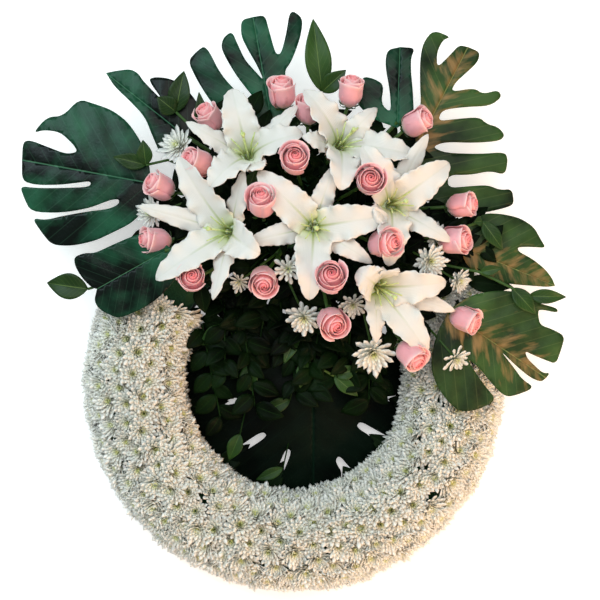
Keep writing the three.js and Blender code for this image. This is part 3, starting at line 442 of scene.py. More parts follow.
LARGE_VEINS = {"vein_count": 9.0, "vein_lean": 0.5}
monstera_finish = leaf_finish(
    "waxy monstera leaf", "#020c07", "#235a40", "#4d7d62", roughness=0.3, vein_share=0.12, gloss=0.14,
    rib_half=0.006, **LARGE_VEINS)
streaked_monstera_finish = leaf_finish(
    "golden-streaked monstera leaf", "#101f0d", "#375428", "#7d8a55", roughness=0.42, vein_share=0.15, gloss=0.15,
    rib_half=0.006, streak_colour="#96774c", **LARGE_VEINS)
# A near-black copy of the monstera leaf: painted shade for the leaves in the ring's eye.
shaded_monstera_finish = leaf_finish(
    "monstera leaf painted in shade", "#020604", "#07130b", "#0c1f15", roughness=0.55, vein_share=0.2, gloss=0.05,
    rib_half=0.01, **LARGE_VEINS)
sprig_finish = leaf_finish("waxy sprig leaf", "#18300f", "#2f4f1c", "#5a7338", roughness=0.42, gloss=0.2)
# A darker copy of the sprig leaf: painted shade for the sprig leaves lying in the ring's eye.
shaded_sprig_finish = leaf_finish(
    "shaded sprig leaf", "#11260b", "#29481a", "#3c5a26", roughness=0.45, gloss=0.15)
# Near-black leaves: painted shade for the gaps between the flowers and in the ring's eye.
filler_finish = leaf_finish("ruscus leaf painted in shade", "#020602", "#0b1d07", "#152c0f", roughness=0.55, gloss=0.05)
stem_finish = leaf_finish(
    "green stem", "#1d3415", "#34541f", "#34541f", roughness=0.5, vein_count=2.0, vein_lean=0.0)

# %% [markdown]
# The wet floral foam is a dull green with open cells well under a millimetre, drawn here
# about 1 mm wide so that they show. Its dark green is partly its own and partly painted
# shade for where it shows between the flowers. The tray is injection-moulded
# polypropylene, dark and matt. The solids' own shapes are right, so they only take these finishes.

# %% Floral foam and the moulded tray
foam_finish, tree, shader = new_finish("wet floral foam", Roughness=0.95, IOR=1.35)
place = add(tree, "ShaderNodeTexCoord").outputs["Object"]
cells = add(tree, "ShaderNodeTexVoronoi", {"Vector": place, "Scale": 900.0}).outputs["Distance"]
# The foam's green is darkened beyond its own: painted shade for where it shows between the flowers.
tint = add(tree, "ShaderNodeValToRGB", {"Fac": cells}, stops=[(0.0, "#16301f"), (0.8, "#2f5a3c")])
tree.links.new(tint.outputs[0], shader.inputs["Base Color"])
bump = add(tree, "ShaderNodeBump", {"Height": cells, "Strength": 0.6, "Distance": 0.0008})
tree.links.new(bump.outputs[0], shader.inputs["Normal"])

tray_finish, tree, shader = new_finish("moulded polypropylene", Roughness=0.5, IOR=1.49)
place = add(tree, "ShaderNodeTexCoord").outputs["Object"]
texture = add(tree, "ShaderNodeTexNoise", {"Vector": place, "Scale": 700.0, "Detail": 3.0})
tint = add(tree, "ShaderNodeValToRGB", {"Fac": texture}, stops=[(0.3, "#22292a"), (0.7, "#2c3433")])
tree.links.new(tint.outputs[0], shader.inputs["Base Color"])
bump = add(tree, "ShaderNodeBump", {"Height": texture, "Strength": 0.3, "Distance": 0.0003})
tree.links.new(bump.outputs[0], shader.inputs["Normal"])

for node, finish in (("spray_foam", foam_finish), ("foam_ring", foam_finish), ("ring_tray", tray_finish)):
    solid = frame["nodes"][node]
    for material_slot in solid.material_slots:
        material_slot.link = "OBJECT"
        material_slot.material = finish
print("kept solids:", "spray_foam, foam_ring, ring_tray")

# %% [markdown]
# Node trees for geometry grow what repeats. A helper makes a tree with named inputs, and
# a second one runs it on a mesh and keeps the plain result: an input is set through its
# socket's identifier, and the modifier goes once its mesh has been taken.

# %% Growing a mesh with a geometry tree
SOCKETS = {
    "Geometry": "NodeSocketGeometry", "Object": "NodeSocketObject", "Material": "NodeSocketMaterial",
    "Integer": "NodeSocketInt", "Float": "NodeSocketFloat", "Vector": "NodeSocketVector",
    "Collection": "NodeSocketCollection",
}


def new_growth(name, inputs):
    tree = bpy.data.node_groups.new(name, "GeometryNodeTree")
    for title, kind in inputs.items():
        tree.interface.new_socket(title, in_out="INPUT", socket_type=SOCKETS[kind])
    tree.interface.new_socket("Geometry", in_out="OUTPUT", socket_type=SOCKETS["Geometry"])
    return tree, tree.nodes.new("NodeGroupInput").outputs


def finish_growth(tree, geometry, finish):
    """Ends a tree: plain geometry with its material."""
    real = add(tree, "GeometryNodeRealizeInstances", {"Geometry": geometry})
    dressed = add(tree, "GeometryNodeSetMaterial", {"Geometry": real, "Material": finish})
    add(tree, "NodeGroupOutput", {0: dressed})


def grow(name, tree, inputs, mesh=None):
    piece = bpy.data.objects.new(name, mesh or bpy.data.meshes.new(name))
    scene.collection.objects.link(piece)
    modifier = piece.modifiers.new("growth", "NODES")
    modifier.node_group = tree
    for item in tree.interface.items_tree:
        if item.in_out == "INPUT" and item.name in inputs:
            modifier[item.identifier] = inputs[item.name]
    graph = bpy.context.evaluated_depsgraph_get()
    grown = bpy.data.meshes.new_from_object(piece.evaluated_get(graph))
    piece.modifiers.clear()
    piece.data = grown
    grown.polygons.foreach_set("use_smooth", [True] * len(grown.polygons))
    return piece


print("input kinds:", len(SOCKETS))

# %% [markdown]
# A chrysanthemum packs its petals by the golden angle, as a sunflower does: each new
# petal turns 137.5 degrees from the last. The heart's petals stand up and are short,
# and the outer ones lie flatter and are long. One tree with named sizes grows every
# head, large or small, and a green cup under it.

# %% The tree that grows a head of petals
GOLDEN_ANGLE = math.radians(137.508)
CROWDING = 0.85
RISE_JITTER = 0.14
LENGTH_RANGE = (0.88, 1.1)
HEART_WELL = 0.16
CUP_SLOPE, CUP_DEPTH, CUP_SINK, CUP_FOOT = 0.8, 2.2, 1.25, 0.0012

head_tree, socket = new_growth("head of petals", {
    "Petal": "Object", "Petals": "Integer", "Outer length": "Float", "Heart length": "Float",
    "Outer rise": "Float", "Heart rise": "Float", "Cup": "Float", "Seed": "Integer", "Material": "Material",
})
t = head_tree
points = add(t, "GeometryNodePoints", {"Count": socket["Petals"]})
index = add(t, "GeometryNodeInputIndex")
share = add(t, "ShaderNodeMath", {0: index, 1: socket["Petals"]}, operation="DIVIDE")
outward = add(t, "ShaderNodeMath", {0: share, 1: CROWDING}, operation="POWER")
turn = add(t, "ShaderNodeMath", {0: index, 1: GOLDEN_ANGLE}, operation="MULTIPLY")
rise = add(t, "ShaderNodeMapRange", {"Value": outward, "To Min": socket["Heart rise"],
                                     "To Max": socket["Outer rise"]})
jitter = add(t, "FunctionNodeRandomValue", {2: -RISE_JITTER, 3: RISE_JITTER, "Seed": socket["Seed"]},
             data_type="FLOAT")
lift = add(t, "ShaderNodeMath", {0: rise, 1: jitter.outputs[1]}, operation="ADD")
down = add(t, "ShaderNodeMath", {0: lift, 1: -1.0}, operation="MULTIPLY")
length = add(t, "ShaderNodeMapRange", {"Value": outward, "To Min": socket["Heart length"],
                                       "To Max": socket["Outer length"]})
stretch = add(t, "FunctionNodeRandomValue", {
    2: LENGTH_RANGE[0], 3: LENGTH_RANGE[1], "Seed": socket["Seed"]}, data_type="FLOAT")
size = add(t, "ShaderNodeMath", {0: length, 1: stretch.outputs[1]}, operation="MULTIPLY")
# A petal leaves the cup a little way out from its middle, and the heart keeps a small dark well.
spread_out = add(t, "ShaderNodeMapRange", {"Value": outward, "To Min": HEART_WELL, "To Max": 1.0})
away = add(t, "ShaderNodeMath", {0: spread_out, 1: socket["Cup"]}, operation="MULTIPLY")
cosine = add(t, "ShaderNodeMath", {0: turn}, operation="COSINE")
sine = add(t, "ShaderNodeMath", {0: turn}, operation="SINE")
x = add(t, "ShaderNodeMath", {0: cosine, 1: away}, operation="MULTIPLY")
y = add(t, "ShaderNodeMath", {0: sine, 1: away}, operation="MULTIPLY")
z = add(t, "ShaderNodeMath", {0: away, 1: -CUP_SLOPE}, operation="MULTIPLY")
position = add(t, "ShaderNodeCombineXYZ", {"X": x, "Y": y, "Z": z})
spread = add(t, "GeometryNodeSetPosition", {"Geometry": points, "Position": position})
angles = add(t, "ShaderNodeCombineXYZ", {"Y": down, "Z": turn})
facing = add(t, "FunctionNodeEulerToRotation", {0: angles})
petal_info = add(t, "GeometryNodeObjectInfo", {"Object": socket["Petal"]})
petals = add(t, "GeometryNodeInstanceOnPoints", {
    "Points": spread, "Instance": petal_info.outputs["Geometry"], "Rotation": facing, "Scale": size})
numbered = add(t, "GeometryNodeStoreNamedAttribute", {"Geometry": petals, "Name": "whorl",
                                                      "Value": outward}, domain="INSTANCE")
depth = add(t, "ShaderNodeMath", {0: socket["Cup"], 1: CUP_DEPTH}, operation="MULTIPLY")
cup = add(t, "GeometryNodeMeshCone", {"Vertices": 7, "Radius Top": socket["Cup"], "Radius Bottom": CUP_FOOT,
                                      "Depth": depth})
sink = add(t, "ShaderNodeMath", {0: depth, 1: -CUP_SINK}, operation="MULTIPLY")
shift = add(t, "ShaderNodeCombineXYZ", {"Z": sink})
lowered = add(t, "GeometryNodeTransform", {"Geometry": cup, "Translation": shift})
green = add(t, "GeometryNodeStoreNamedAttribute", {"Geometry": lowered, "Name": "whorl", "Value": -1.0})
both = add(t, "GeometryNodeJoinGeometry", {"Geometry": numbered})
t.links.new(green.outputs[0], both.inputs[0])
finish_growth(t, both, socket["Material"])
print("nodes in the head tree:", len(t.nodes))

# %% [markdown]
# The ring's heads stand side by side on an arched bed over the foam. Placing them by
# hand would take hours, and a plain grid would look planted, so a second tree
# scatters them with an even spacing, faces each one outwards and tips it a little.

# %% The tree that scatters heads over a bed
scatter_tree, socket = new_growth("heads over a bed", {
    "Bed": "Geometry", "Heads": "Collection", "Spacing": "Float", "Density": "Float", "Centre": "Vector",
    "Start": "Float", "End": "Float", "Smallest": "Float", "Largest": "Float", "Tip": "Float",
    "Seed": "Integer", "Material": "Material",
})
t = scatter_tree
spots = add(t, "GeometryNodeDistributePointsOnFaces", {
    "Mesh": socket["Bed"], "Distance Min": socket["Spacing"], "Density Max": socket["Density"],
    "Seed": socket["Seed"]}, distribute_method="POISSON")
here = add(t, "GeometryNodeInputPosition")
from_centre = add(t, "ShaderNodeVectorMath", {0: here, 1: socket["Centre"]}, operation="SUBTRACT")
split = add(t, "ShaderNodeSeparateXYZ", {0: from_centre})
bearing = add(t, "ShaderNodeMath", {0: split.outputs["Y"], 1: split.outputs["X"]}, operation="ARCTAN2")
full_turn = add(t, "ShaderNodeMath", {0: socket["Start"], 1: 2 * math.pi}, operation="ADD")
wrapped = add(t, "ShaderNodeMath", {0: bearing, 1: full_turn, 2: socket["Start"]}, operation="WRAP")
outside = add(t, "ShaderNodeMath", {0: wrapped, 1: socket["End"]}, operation="GREATER_THAN")
kept = add(t, "GeometryNodeDeleteGeometry", {"Geometry": spots.outputs["Points"], "Selection": outside},
           domain="POINT")
lean = add(t, "FunctionNodeRandomValue", {"Seed": socket["Seed"]}, data_type="FLOAT_VECTOR")
tip = add(t, "ShaderNodeVectorMath", {0: lean, "Scale": socket["Tip"]}, operation="SCALE")
spin = add(t, "FunctionNodeRandomValue", {2: 0.0, 3: 2 * math.pi, "Seed": socket["Seed"]}, data_type="FLOAT")
tip_parts = add(t, "ShaderNodeSeparateXYZ", {0: tip})
own_turn = add(t, "ShaderNodeCombineXYZ", {"X": tip_parts.outputs["X"], "Y": tip_parts.outputs["Y"],
                                           "Z": spin.outputs[1]})
own_rotation = add(t, "FunctionNodeEulerToRotation", {0: own_turn})
facing = add(t, "FunctionNodeRotateRotation", {0: spots.outputs["Rotation"], 1: own_rotation},
             rotation_space="LOCAL")
growth = add(t, "FunctionNodeRandomValue", {
    2: socket["Smallest"], 3: socket["Largest"], "Seed": socket["Seed"]}, data_type="FLOAT")
kinds = add(t, "GeometryNodeCollectionInfo", {"Collection": socket["Heads"], "Separate Children": True,
                                              "Reset Children": True})
kind = add(t, "FunctionNodeRandomValue", {4: 0, 5: 3, "Seed": socket["Seed"]}, data_type="INT")
heads = add(t, "GeometryNodeInstanceOnPoints", {
    "Points": kept, "Instance": kinds, "Pick Instance": True,
    "Instance Index": kind.outputs[2], "Rotation": facing, "Scale": growth.outputs[1]})
finish_growth(t, heads, socket["Material"])
print("nodes in the scatter tree:", len(t.nodes))

# %% [markdown]
# A leafy stem repeats its leaves along a path, left and right in turn. The third tree
# walks along a curve and sets a leaf at each step, with its face turned upwards.

# %% The tree that grows leaves along stems
SWING_RANGE = (0.6, 1.25)
LEAST_WOBBLE, MOST_WOBBLE = (-0.5, -0.45, 0.0), (0.5, 0.25, 0.0)
STALK_RADIUS = 0.0012

stem_tree, socket = new_growth("leaves along stems", {
    "Stems": "Geometry", "Leaf": "Object", "Step": "Float", "Smallest": "Float", "Largest": "Float",
    "Splay": "Float", "Seed": "Integer", "Material": "Material",
})
t = stem_tree
line = add(t, "GeometryNodeMeshToCurve", {"Mesh": socket["Stems"]})
steps = add(t, "GeometryNodeResampleCurve", {"Curve": line, "Length": socket["Step"]}, mode="LENGTH")
tangent = add(t, "GeometryNodeInputTangent")
index = add(t, "GeometryNodeInputIndex")
parity = add(t, "ShaderNodeMath", {0: index, 1: 2.0}, operation="MODULO")
side = add(t, "ShaderNodeMath", {0: parity, 1: 2.0, 2: -1.0}, operation="MULTIPLY_ADD")
swing = add(t, "FunctionNodeRandomValue", {
    2: SWING_RANGE[0], 3: SWING_RANGE[1], "Seed": socket["Seed"]}, data_type="FLOAT")
swung = add(t, "ShaderNodeMath", {0: side, 1: swing.outputs[1]}, operation="MULTIPLY")
yaw = add(t, "ShaderNodeMath", {0: swung, 1: socket["Splay"]}, operation="MULTIPLY")
wobble = add(t, "FunctionNodeRandomValue", {
    0: LEAST_WOBBLE, 1: MOST_WOBBLE, "Seed": socket["Seed"]}, data_type="FLOAT_VECTOR")
wobbled = add(t, "ShaderNodeSeparateXYZ", {0: wobble})
forward = add(t, "FunctionNodeAlignRotationToVector", {"Vector": tangent}, axis="X")
upward = add(t, "FunctionNodeAlignRotationToVector", {"Rotation": forward, "Vector": (0, 0, 1)},
             axis="Z", pivot_axis="X")
leaf_turn = add(t, "ShaderNodeCombineXYZ", {
    "X": wobbled.outputs["X"], "Y": wobbled.outputs["Y"], "Z": yaw})
leaf_rotation = add(t, "FunctionNodeEulerToRotation", {0: leaf_turn})
facing = add(t, "FunctionNodeRotateRotation", {0: upward, 1: leaf_rotation}, rotation_space="LOCAL")
size = add(t, "FunctionNodeRandomValue", {
    2: socket["Smallest"], 3: socket["Largest"], "Seed": socket["Seed"]}, data_type="FLOAT")
leaf_info = add(t, "GeometryNodeObjectInfo", {"Object": socket["Leaf"]})
leaves = add(t, "GeometryNodeInstanceOnPoints", {
    "Points": steps, "Instance": leaf_info.outputs["Geometry"], "Rotation": facing,
    "Scale": size.outputs[1]})
round_section = add(t, "GeometryNodeCurvePrimitiveCircle", {
    "Resolution": 6, "Radius": STALK_RADIUS}, mode="RADIUS")
stalk = add(t, "GeometryNodeCurveToMesh", {
    "Curve": line, "Profile Curve": round_section, "Fill Caps": True})
both = add(t, "GeometryNodeJoinGeometry", {"Geometry": leaves})
t.links.new(stalk.outputs[0], both.inputs[0])
finish_growth(t, both, socket["Material"])
print("nodes in the stem tree:", len(t.nodes))

# %% [markdown]
# One petal of unit length is enough for every chrysanthemum. It is a closed slim blade
# with a hollowed face and a keel below, so it has a front and a back, and it stays
# light because it is repeated thousands of times.

# %% One chrysanthemum petal
SLIM_PETAL = [(0.0, 0.05), (0.4, 0.115), (0.82, 0.125)]
SPOON_PETAL = [(0.0, 0.045), (0.45, 0.1), (0.78, 0.165), (0.94, 0.11)]


def mum_petal(name, profile, bend, hollow=0.03):
    points, along = [], []
    for x, half in profile:
        z = bend * x * x
        points += [Vector((x, -half, z + hollow)), Vector((x, 0, z)), Vector((x, half, z + hollow)),
                   Vector((x, 0, z - 0.02))]
        along += [x] * 4
    points.append(Vector((1.0, 0, bend)))
    along.append(1.0)
    last = 4 * (len(profile) - 1)
    faces = [
        [4 * k + i, 4 * k + (i + 1) % 4, 4 * k + 4 + (i + 1) % 4, 4 * k + 4 + i]
        for k in range(len(profile) - 1) for i in range(4)
    ]
    faces += [[last + i, last + (i + 1) % 4, last + 4] for i in range(4)]
    faces.append([3, 2, 1, 0])
    faces = [face[::-1] for face in faces]
    parts = Parts()
    parts.add([point / MM for point in points], faces, along, [0.0] * len(points))
    return parts.to_object(name, [mum_finish])


def head_of_petals(name, petal, petals, outer, heart, outer_rise, heart_rise, cup, seed):
    return grow(name, head_tree, {
        "Petal": petal, "Petals": petals, "Outer length": outer * MM, "Heart length": heart * MM,
        "Outer rise": math.radians(outer_rise), "Heart rise": math.radians(heart_rise), "Cup": cup * MM,
        "Seed": seed, "Material": mum_finish,
    })


incurved_petal = mum_petal("incurved_petal", SLIM_PETAL, 0.12)
straight_petal = mum_petal("straight_petal", SPOON_PETAL, -0.06)
print("triangles in a petal:", triangles(incurved_petal))

# %% [markdown]
# The ring's cover is cut into the same eight stretches as the solids. Each stretch is
# grown from the whole bed with the same seed, and keeps only the heads whose bearing
# from the ring's centre lies in its own range, so the spacing stays even at the seams.

# %% The ring of chrysanthemum heads
COVER_HALF_WIDTH, COVER_LEVEL, COVER_RISE, COVER_REACH = 69, 42, 64, 100
COVER_START, COVER_SWEEP, STRETCHES = 148, 244, 8
END_ANGLE = 1.5
BED_DEPTH = 9
HEAD_SPACING = 22
# So many points are offered that the spacing alone decides how many heads there are.
POINT_DENSITY = 60000.0
HEAD_TIP = 0.22
# Each kind of head: its petals, the length of the outer ones in millimetres, and their rise in degrees.
RING_HEADS = [(66, 24, 22), (62, 22, 30), (68, 25, 14)]


def cover_bed():
    parts = Parts()

    def place(s, t):
        across = math.radians(COVER_REACH * s)
        along = math.radians(COVER_START + END_ANGLE + (COVER_SWEEP - 2 * END_ANGLE) * t)
        radius = RING_RADIUS + (COVER_HALF_WIDTH - BED_DEPTH) * math.sin(across)
        level = COVER_LEVEL + (COVER_RISE - BED_DEPTH) * math.cos(across)
        return RING + Vector((radius * math.cos(along), radius * math.sin(along), level))

    parts.sheet(place, 18, 60)
    return parts.to_object("cover_bed", [])


bed = cover_bed()
head_kinds = bpy.data.collections.new("ring heads")
for kind, (petals, outer, rise) in enumerate(RING_HEADS):
    head = head_of_petals(
        f"ring_head_{kind}", incurved_petal, petals, outer, heart=9, outer_rise=rise, heart_rise=76, cup=5,
        seed=kind)
    head_kinds.objects.link(head)
    scene.collection.objects.unlink(head)
scene.collection.children.link(head_kinds)
for number in range(STRETCHES):
    sweep = math.radians(COVER_SWEEP / STRETCHES)
    start = math.radians(COVER_START) + number * sweep
    piece = grow(f"chrysanthemum_cover_{number + 1}", scatter_tree, {
        "Heads": head_kinds, "Spacing": HEAD_SPACING * MM, "Density": POINT_DENSITY, "Centre": RING * MM,
        "Start": start, "End": start + sweep, "Smallest": 0.9, "Largest": 1.12, "Tip": HEAD_TIP, "Seed": 3,
        "Material": mum_finish,
    }, bed.data)
    finish_piece(piece, f"ring_mums_{number + 1}")
    print(piece.name, "triangles:", triangles(piece))
for head in list(head_kinds.objects):
    bpy.data.objects.remove(head)
bpy.data.collections.remove(head_kinds)
bpy.data.objects.remove(bed)

# %% [markdown]
# The small chrysanthemums of the spray grow in bunches. Each bunch is one piece: its
# heads stand on branches that part from one stem, and each head leans as its solid
# does. A head is grown flat at the origin and then carried to its place.

# %% The bunches of spray chrysanthemums
# A head with fewer petals than this has the broad, straight ones.
LOOSE_HEAD = 50
# Each bunch: the place where its stem forks, and its heads by place, radius, lean and petals.
SPRAY_MUMS = {
    "spray_mums_left": [(208, 194, 112), [
        (178, 146, 141, 27, -0.5, 0.3, 60), (151, 213, 124, 24, -0.6, 0, 54)]],
    "spray_mums_lower": [(276, 254, 132), [
        (239, 282, 138, 15, -0.3, -0.4, 30), (288, 269, 180, 21, 0, -0.1, 26),
        (304, 318, 142, 24, 0, -0.4, 44)]],
    "spray_mums_lower_right": [(358, 290, 116), [
        (353, 305, 150, 18, 0, -0.4, 40), (373, 353, 146, 30, 0.1, -0.45, 58)]],
    "spray_mums_right": [(402, 246, 112), [
        (430, 261, 156, 24, 0.3, -0.1, 60), (459, 281, 138, 18, 0.6, -0.2, 60),
        (437, 238, 136, 20, 0.3, 0.3, 56)]],
    "spray_mums_edge": [(420, 318, 112), [(456, 359, 150, 20, 0.4, -0.5, 34)]],
}


def carried(piece, place, axis):
    """Moves a grown head's mesh from the origin to its place."""
    turn = UP.rotation_difference(axis).to_matrix().to_4x4()
    piece.data.transform(Matrix.Translation(place * MM) @ turn)


def merged(name, pieces):
    """Several meshes as one piece, with their attributes."""
    for piece in bpy.context.selected_objects:
        piece.select_set(False)
    for piece in pieces:
        piece.select_set(True)
    bpy.context.view_layer.objects.active = pieces[0]
    bpy.ops.object.join()
    pieces[0].name = name
    return pieces[0]


for number, (bunch, (fork, heads)) in enumerate(SPRAY_MUMS.items()):
    parting = seen(*fork)
    stems = Parts()
    stems.tube(footed_path(parting), STEM_RADII["chrysanthemum"])
    bloom = []
    for k, (x, y, level, radius, lean_x, lean_y, petals) in enumerate(heads):
        axis = leaning(lean_x, lean_y)
        middle = seen(x, y, level)
        petal = straight_petal if petals < LOOSE_HEAD else incurved_petal
        head = head_of_petals(
            f"{bunch}_head_{k}", petal, petals, radius, heart=0.36 * radius, outer_rise=10, heart_rise=74,
            cup=0.17 * radius, seed=20 + 3 * number + k)
        carried(head, middle, axis)
        bloom.append(head)
        foot = middle - axis * 0.4 * radius
        bend = parting.lerp(foot, 0.55) + UP * 4
        stems.tube([parting, bend, foot], [1.7, 1.5, 1.4])
    branch = stems.to_object(f"{bunch}_stems", [stem_finish])
    piece = merged(f"small_{bunch}", bloom + [branch])
    finish_piece(piece, bunch)
bpy.data.objects.remove(incurved_petal)
bpy.data.objects.remove(straight_petal)
print("bunches:", len(SPRAY_MUMS))

# %% [markdown]
# A rose bud is a spiral of cupped petals, each a golden angle on from the one before.
# A petal is a sheet bent round the bloom's axis: rounded at its foot, widest below its
# middle and turned out at the lip. Further in, the petals wrap closer round the axis,
# stand taller and turn less at the lip, down to the tight heart.

# %% The shape of a rose
ROSE_PETALS = 19
OPEN_PETALS = 8
FOOT_LEVEL, LIP_LEVEL = -1.38, 0.86


def rose_petal(place_out, angle, inward, shape):
    """The place of a petal's points: across from -1 to 1, and along from foot to lip."""
    girth = (0.97 - 0.42 * inward) * shape["girth"]
    mouth = 0.92 * (1 - inward) ** 1.35 + 0.06
    half = math.radians(76 + 50 * inward ** 2)
    foot = FOOT_LEVEL + 0.7 * inward
    lip = LIP_LEVEL + 0.3 * math.sin(0.5 * math.pi * min(1.0, 1.6 * inward)) + shape["lip"]
    roll = shape["roll"] * max(0.0, 1 - 2.2 * inward)

    def place(s, t):
        belly = 0.34 + 0.66 * math.sin(0.5 * math.pi * min(1.0, t / 0.42)) ** 0.75
        lean = max(0.0, (t - 0.42) / 0.58)
        lean = lean * lean * (3 - 2 * lean)
        spread = 0.45 + 0.55 * math.sin(math.pi * min(0.62, 0.1 + 0.8 * t))
        rim = max(0.0, (t - 0.76) / 0.24) ** 2
        corner = abs(s) ** 3 * t
        out = girth * belly + (mouth - girth) * lean
        out *= 1 + (0.05 if inward < 0.22 else -0.2 * (1 - inward)) * (1 - s * s) * lean
        out += roll * rim * (0.7 + 0.5 * abs(s)) + 0.06 * s * (1 - 0.5 * inward)
        level = foot + (lip - foot) * t - 0.26 * corner - 0.3 * roll * rim
        around = angle + half * s * spread
        return place_out(Vector((out * math.cos(around), out * math.sin(around), level)))

    return place


def add_rose(parts, middle, axis, radius, rng):
    turn = UP.rotation_difference(axis)
    spin = rng.uniform(0, 2 * math.pi)

    def place_out(point):
        return middle + turn @ (point * radius)

    for k in range(ROSE_PETALS):
        inward = k / (ROSE_PETALS - 1)
        shape = {"girth": rng.uniform(0.97, 1.03), "lip": rng.uniform(-0.1, 0.06)}
        shape["roll"] = rng.uniform(0.06, 0.2)
        angle = spin + k * GOLDEN_ANGLE + rng.uniform(-0.1, 0.1)
        columns, rows = (8, 9) if k < OPEN_PETALS else (7, 6)
        first = len(parts.across)
        parts.sheet(rose_petal(place_out, angle, inward, shape), columns, rows)
        tint = min(1.0, max(0.0, (inward - 0.15) / 0.55))
        parts.across[first:] = [tint] * (len(parts.across) - first)


def add_sepals(parts, middle, axis, radius, rng):
    """The green cup under a bloom, with its five narrow leaves."""
    turn = UP.rotation_difference(axis)
    cup = [middle + turn @ Vector((0, 0, z * radius)) for z in (-1.62, -1.5, -1.36, -1.2)]
    parts.tube(cup, [0.14 * radius, 0.26 * radius, 0.32 * radius, 0.26 * radius], slot=1)
    for k in range(5):
        angle = 2 * math.pi * k / 5 + rng.uniform(-0.2, 0.2)
        length = rng.uniform(0.8, 1.05)

        def place(s, t):
            out = 0.28 + 0.62 * length * math.sin(0.5 * math.pi * t)
            half = 0.13 * math.sin(math.pi * (0.18 + 0.8 * t))
            level = -1.4 + 0.45 * length * t * t - 0.12 * t
            around = angle + s * half / out
            return middle + turn @ (Vector((out * math.cos(around), out * math.sin(around), level)) * radius)

        parts.sheet(place, 2, 6, slot=1)


print("petals in a rose:", ROSE_PETALS)

# %% [markdown]
# Each rose stands where its solid stands: the middle of its head by pixel and level, the
# lean of its axis, its radius in millimetres, and a stem that aims at the foam's heart.

# %% The roses
ROSES = [
    (282, 91, 146, -0.05, 0.8, 18), (209, 117, 132, -0.45, 0.62, 17.5), (308, 108, 150, 0.05, 0.85, 17),
    (351, 90, 146, 0.1, 0.86, 17), (197, 162, 158, -0.72, 0.25, 18), (159, 186, 136, -0.72, 0.4, 17.5),
    (295, 159, 206, 0.02, 0.22, 19.5), (261, 201, 200, -0.05, 0.5, 19.5), (154, 240, 134, -0.86, 0.02, 17.5),
    (192, 278, 160, 0.05, 0.18, 18.5), (264, 281, 184, 0.02, -0.42, 18.5), (331, 277, 212, 0.02, 0.26, 20.5),
    (333, 322, 172, 0.28, -0.36, 19.5), (370, 180, 204, 0.04, 0.1, 19.5), (386, 243, 190, 0.6, 0.05, 19.5),
    (418, 122, 146, 0.8, 0.34, 17), (463, 205, 138, 0.9, 0.12, 17), (456, 240, 150, 0.84, 0.04, 18.5),
    (466, 320, 139, 0.8, -0.34, 17.5), (412, 355, 156, 0.5, -0.64, 18),
]
rng = random.Random(11)
for number, (x, y, level, lean_x, lean_y, radius) in enumerate(ROSES, 1):
    axis = leaning(lean_x, lean_y)
    middle = seen(x, y, level)
    parts = Parts()
    add_rose(parts, middle, axis, radius, rng)
    add_sepals(parts, middle, axis, radius, rng)
    neck = middle - axis * radius
    path = footed_path(neck)
    parts.tube(path, STEM_RADII["rose"], slot=1)
    piece = parts.to_object(f"spray_rose_{number:02d}", [rose_finish, stem_finish], thickness=0.35)
    finish_piece(piece, f"rose_{number:02d}")
print("roses:", len(ROSES))

# %% [markdown]
# A lily opens from a slim trumpet into six petals: three wide inner ones and three
# narrower outer ones, each a Bezier curve from the throat up over a shoulder and out to
# its tip. Their edges ruffle, and a groove runs down the middle of each.

# %% The shape of a lily
LILY_CUP_RADIUS, LILY_THROAT_DEPTH, LILY_REACH = 13, 44, 108
LILY_STYLE = 44
HALF_WIDTHS = {True: 24, False: 15}


def bezier(points, t):
    a, b, c, d = points
    u = 1 - t
    return a * u ** 3 + b * 3 * u * u * t + c * 3 * u * t * t + d * t ** 3


def bezier_tangent(points, t):
    a, b, c, d = points
    u = 1 - t
    return ((b - a) * u * u + (c - b) * 2 * u * t + (d - c) * t * t).normalized()


def add_lily_petal(parts, mouth, rim, axis, tip_at, is_wide, rng):
    x, y, rise = tip_at
    tip = seen(x, y, mouth.z + rise)
    spread = tip - mouth
    outward = (spread - axis * spread.dot(axis)).normalized()
    reach = math.hypot(spread.x, spread.y)
    lift = 14 + 0.42 * math.sqrt(max(0, LILY_REACH ** 2 - reach ** 2)) - 0.4 * rise
    root = rim + axis * (-2 if is_wide else -5) + outward * (7 if is_wide else 9.5)
    neck = mouth + outward * (7 if is_wide else 12) + axis * (6 if is_wide else -4)
    shoulder = mouth + spread * 0.66 + UP * lift + axis * (5 if is_wide else -5)
    line = (root, neck, shoulder, tip)
    side = axis.cross(outward).normalized()
    widest = HALF_WIDTHS[is_wide]
    waves = rng.uniform(4.2, 5.6)
    phases = (rng.uniform(0, 6.28), rng.uniform(0, 6.28))

    def place(s, t):
        fullness = max(0.0, math.sin(math.pi * t ** 0.85)) ** 0.6
        width = max(0.6, 0.36 * LILY_CUP_RADIUS * (1 - t) ** 2 + 0.95 * widest * fullness)
        normal = side.cross(bezier_tangent(line, t)).normalized()
        cupping = (0.22 if is_wide else -0.18) * width * abs(s) ** 1.5
        groove = 0.9 * math.exp(-(s / 0.09) ** 2) * math.sin(math.pi * t)
        swell = math.sin(math.pi * min(1.0, t * 1.05)) ** 0.7
        phase = phases[0 if s < 0 else 1]
        ruffle = 0.2 * widest * abs(s) ** 3 * swell * math.sin(2 * math.pi * waves * t + phase)
        width *= 1 + 0.045 * abs(s) * math.sin(2 * math.pi * 2.3 * waves * t + phase)
        return bezier(line, t) + side * s * width - normal * (cupping + ruffle - groove)

    parts.sheet(place, 14, 30)


print("petal half-widths, mm:", HALF_WIDTHS)

# %% [markdown]
# In the throat stand the green style with its three-lobed stigma and six pale stamen
# threads. They are thin tubes, bent a little outwards, as the solids have them.

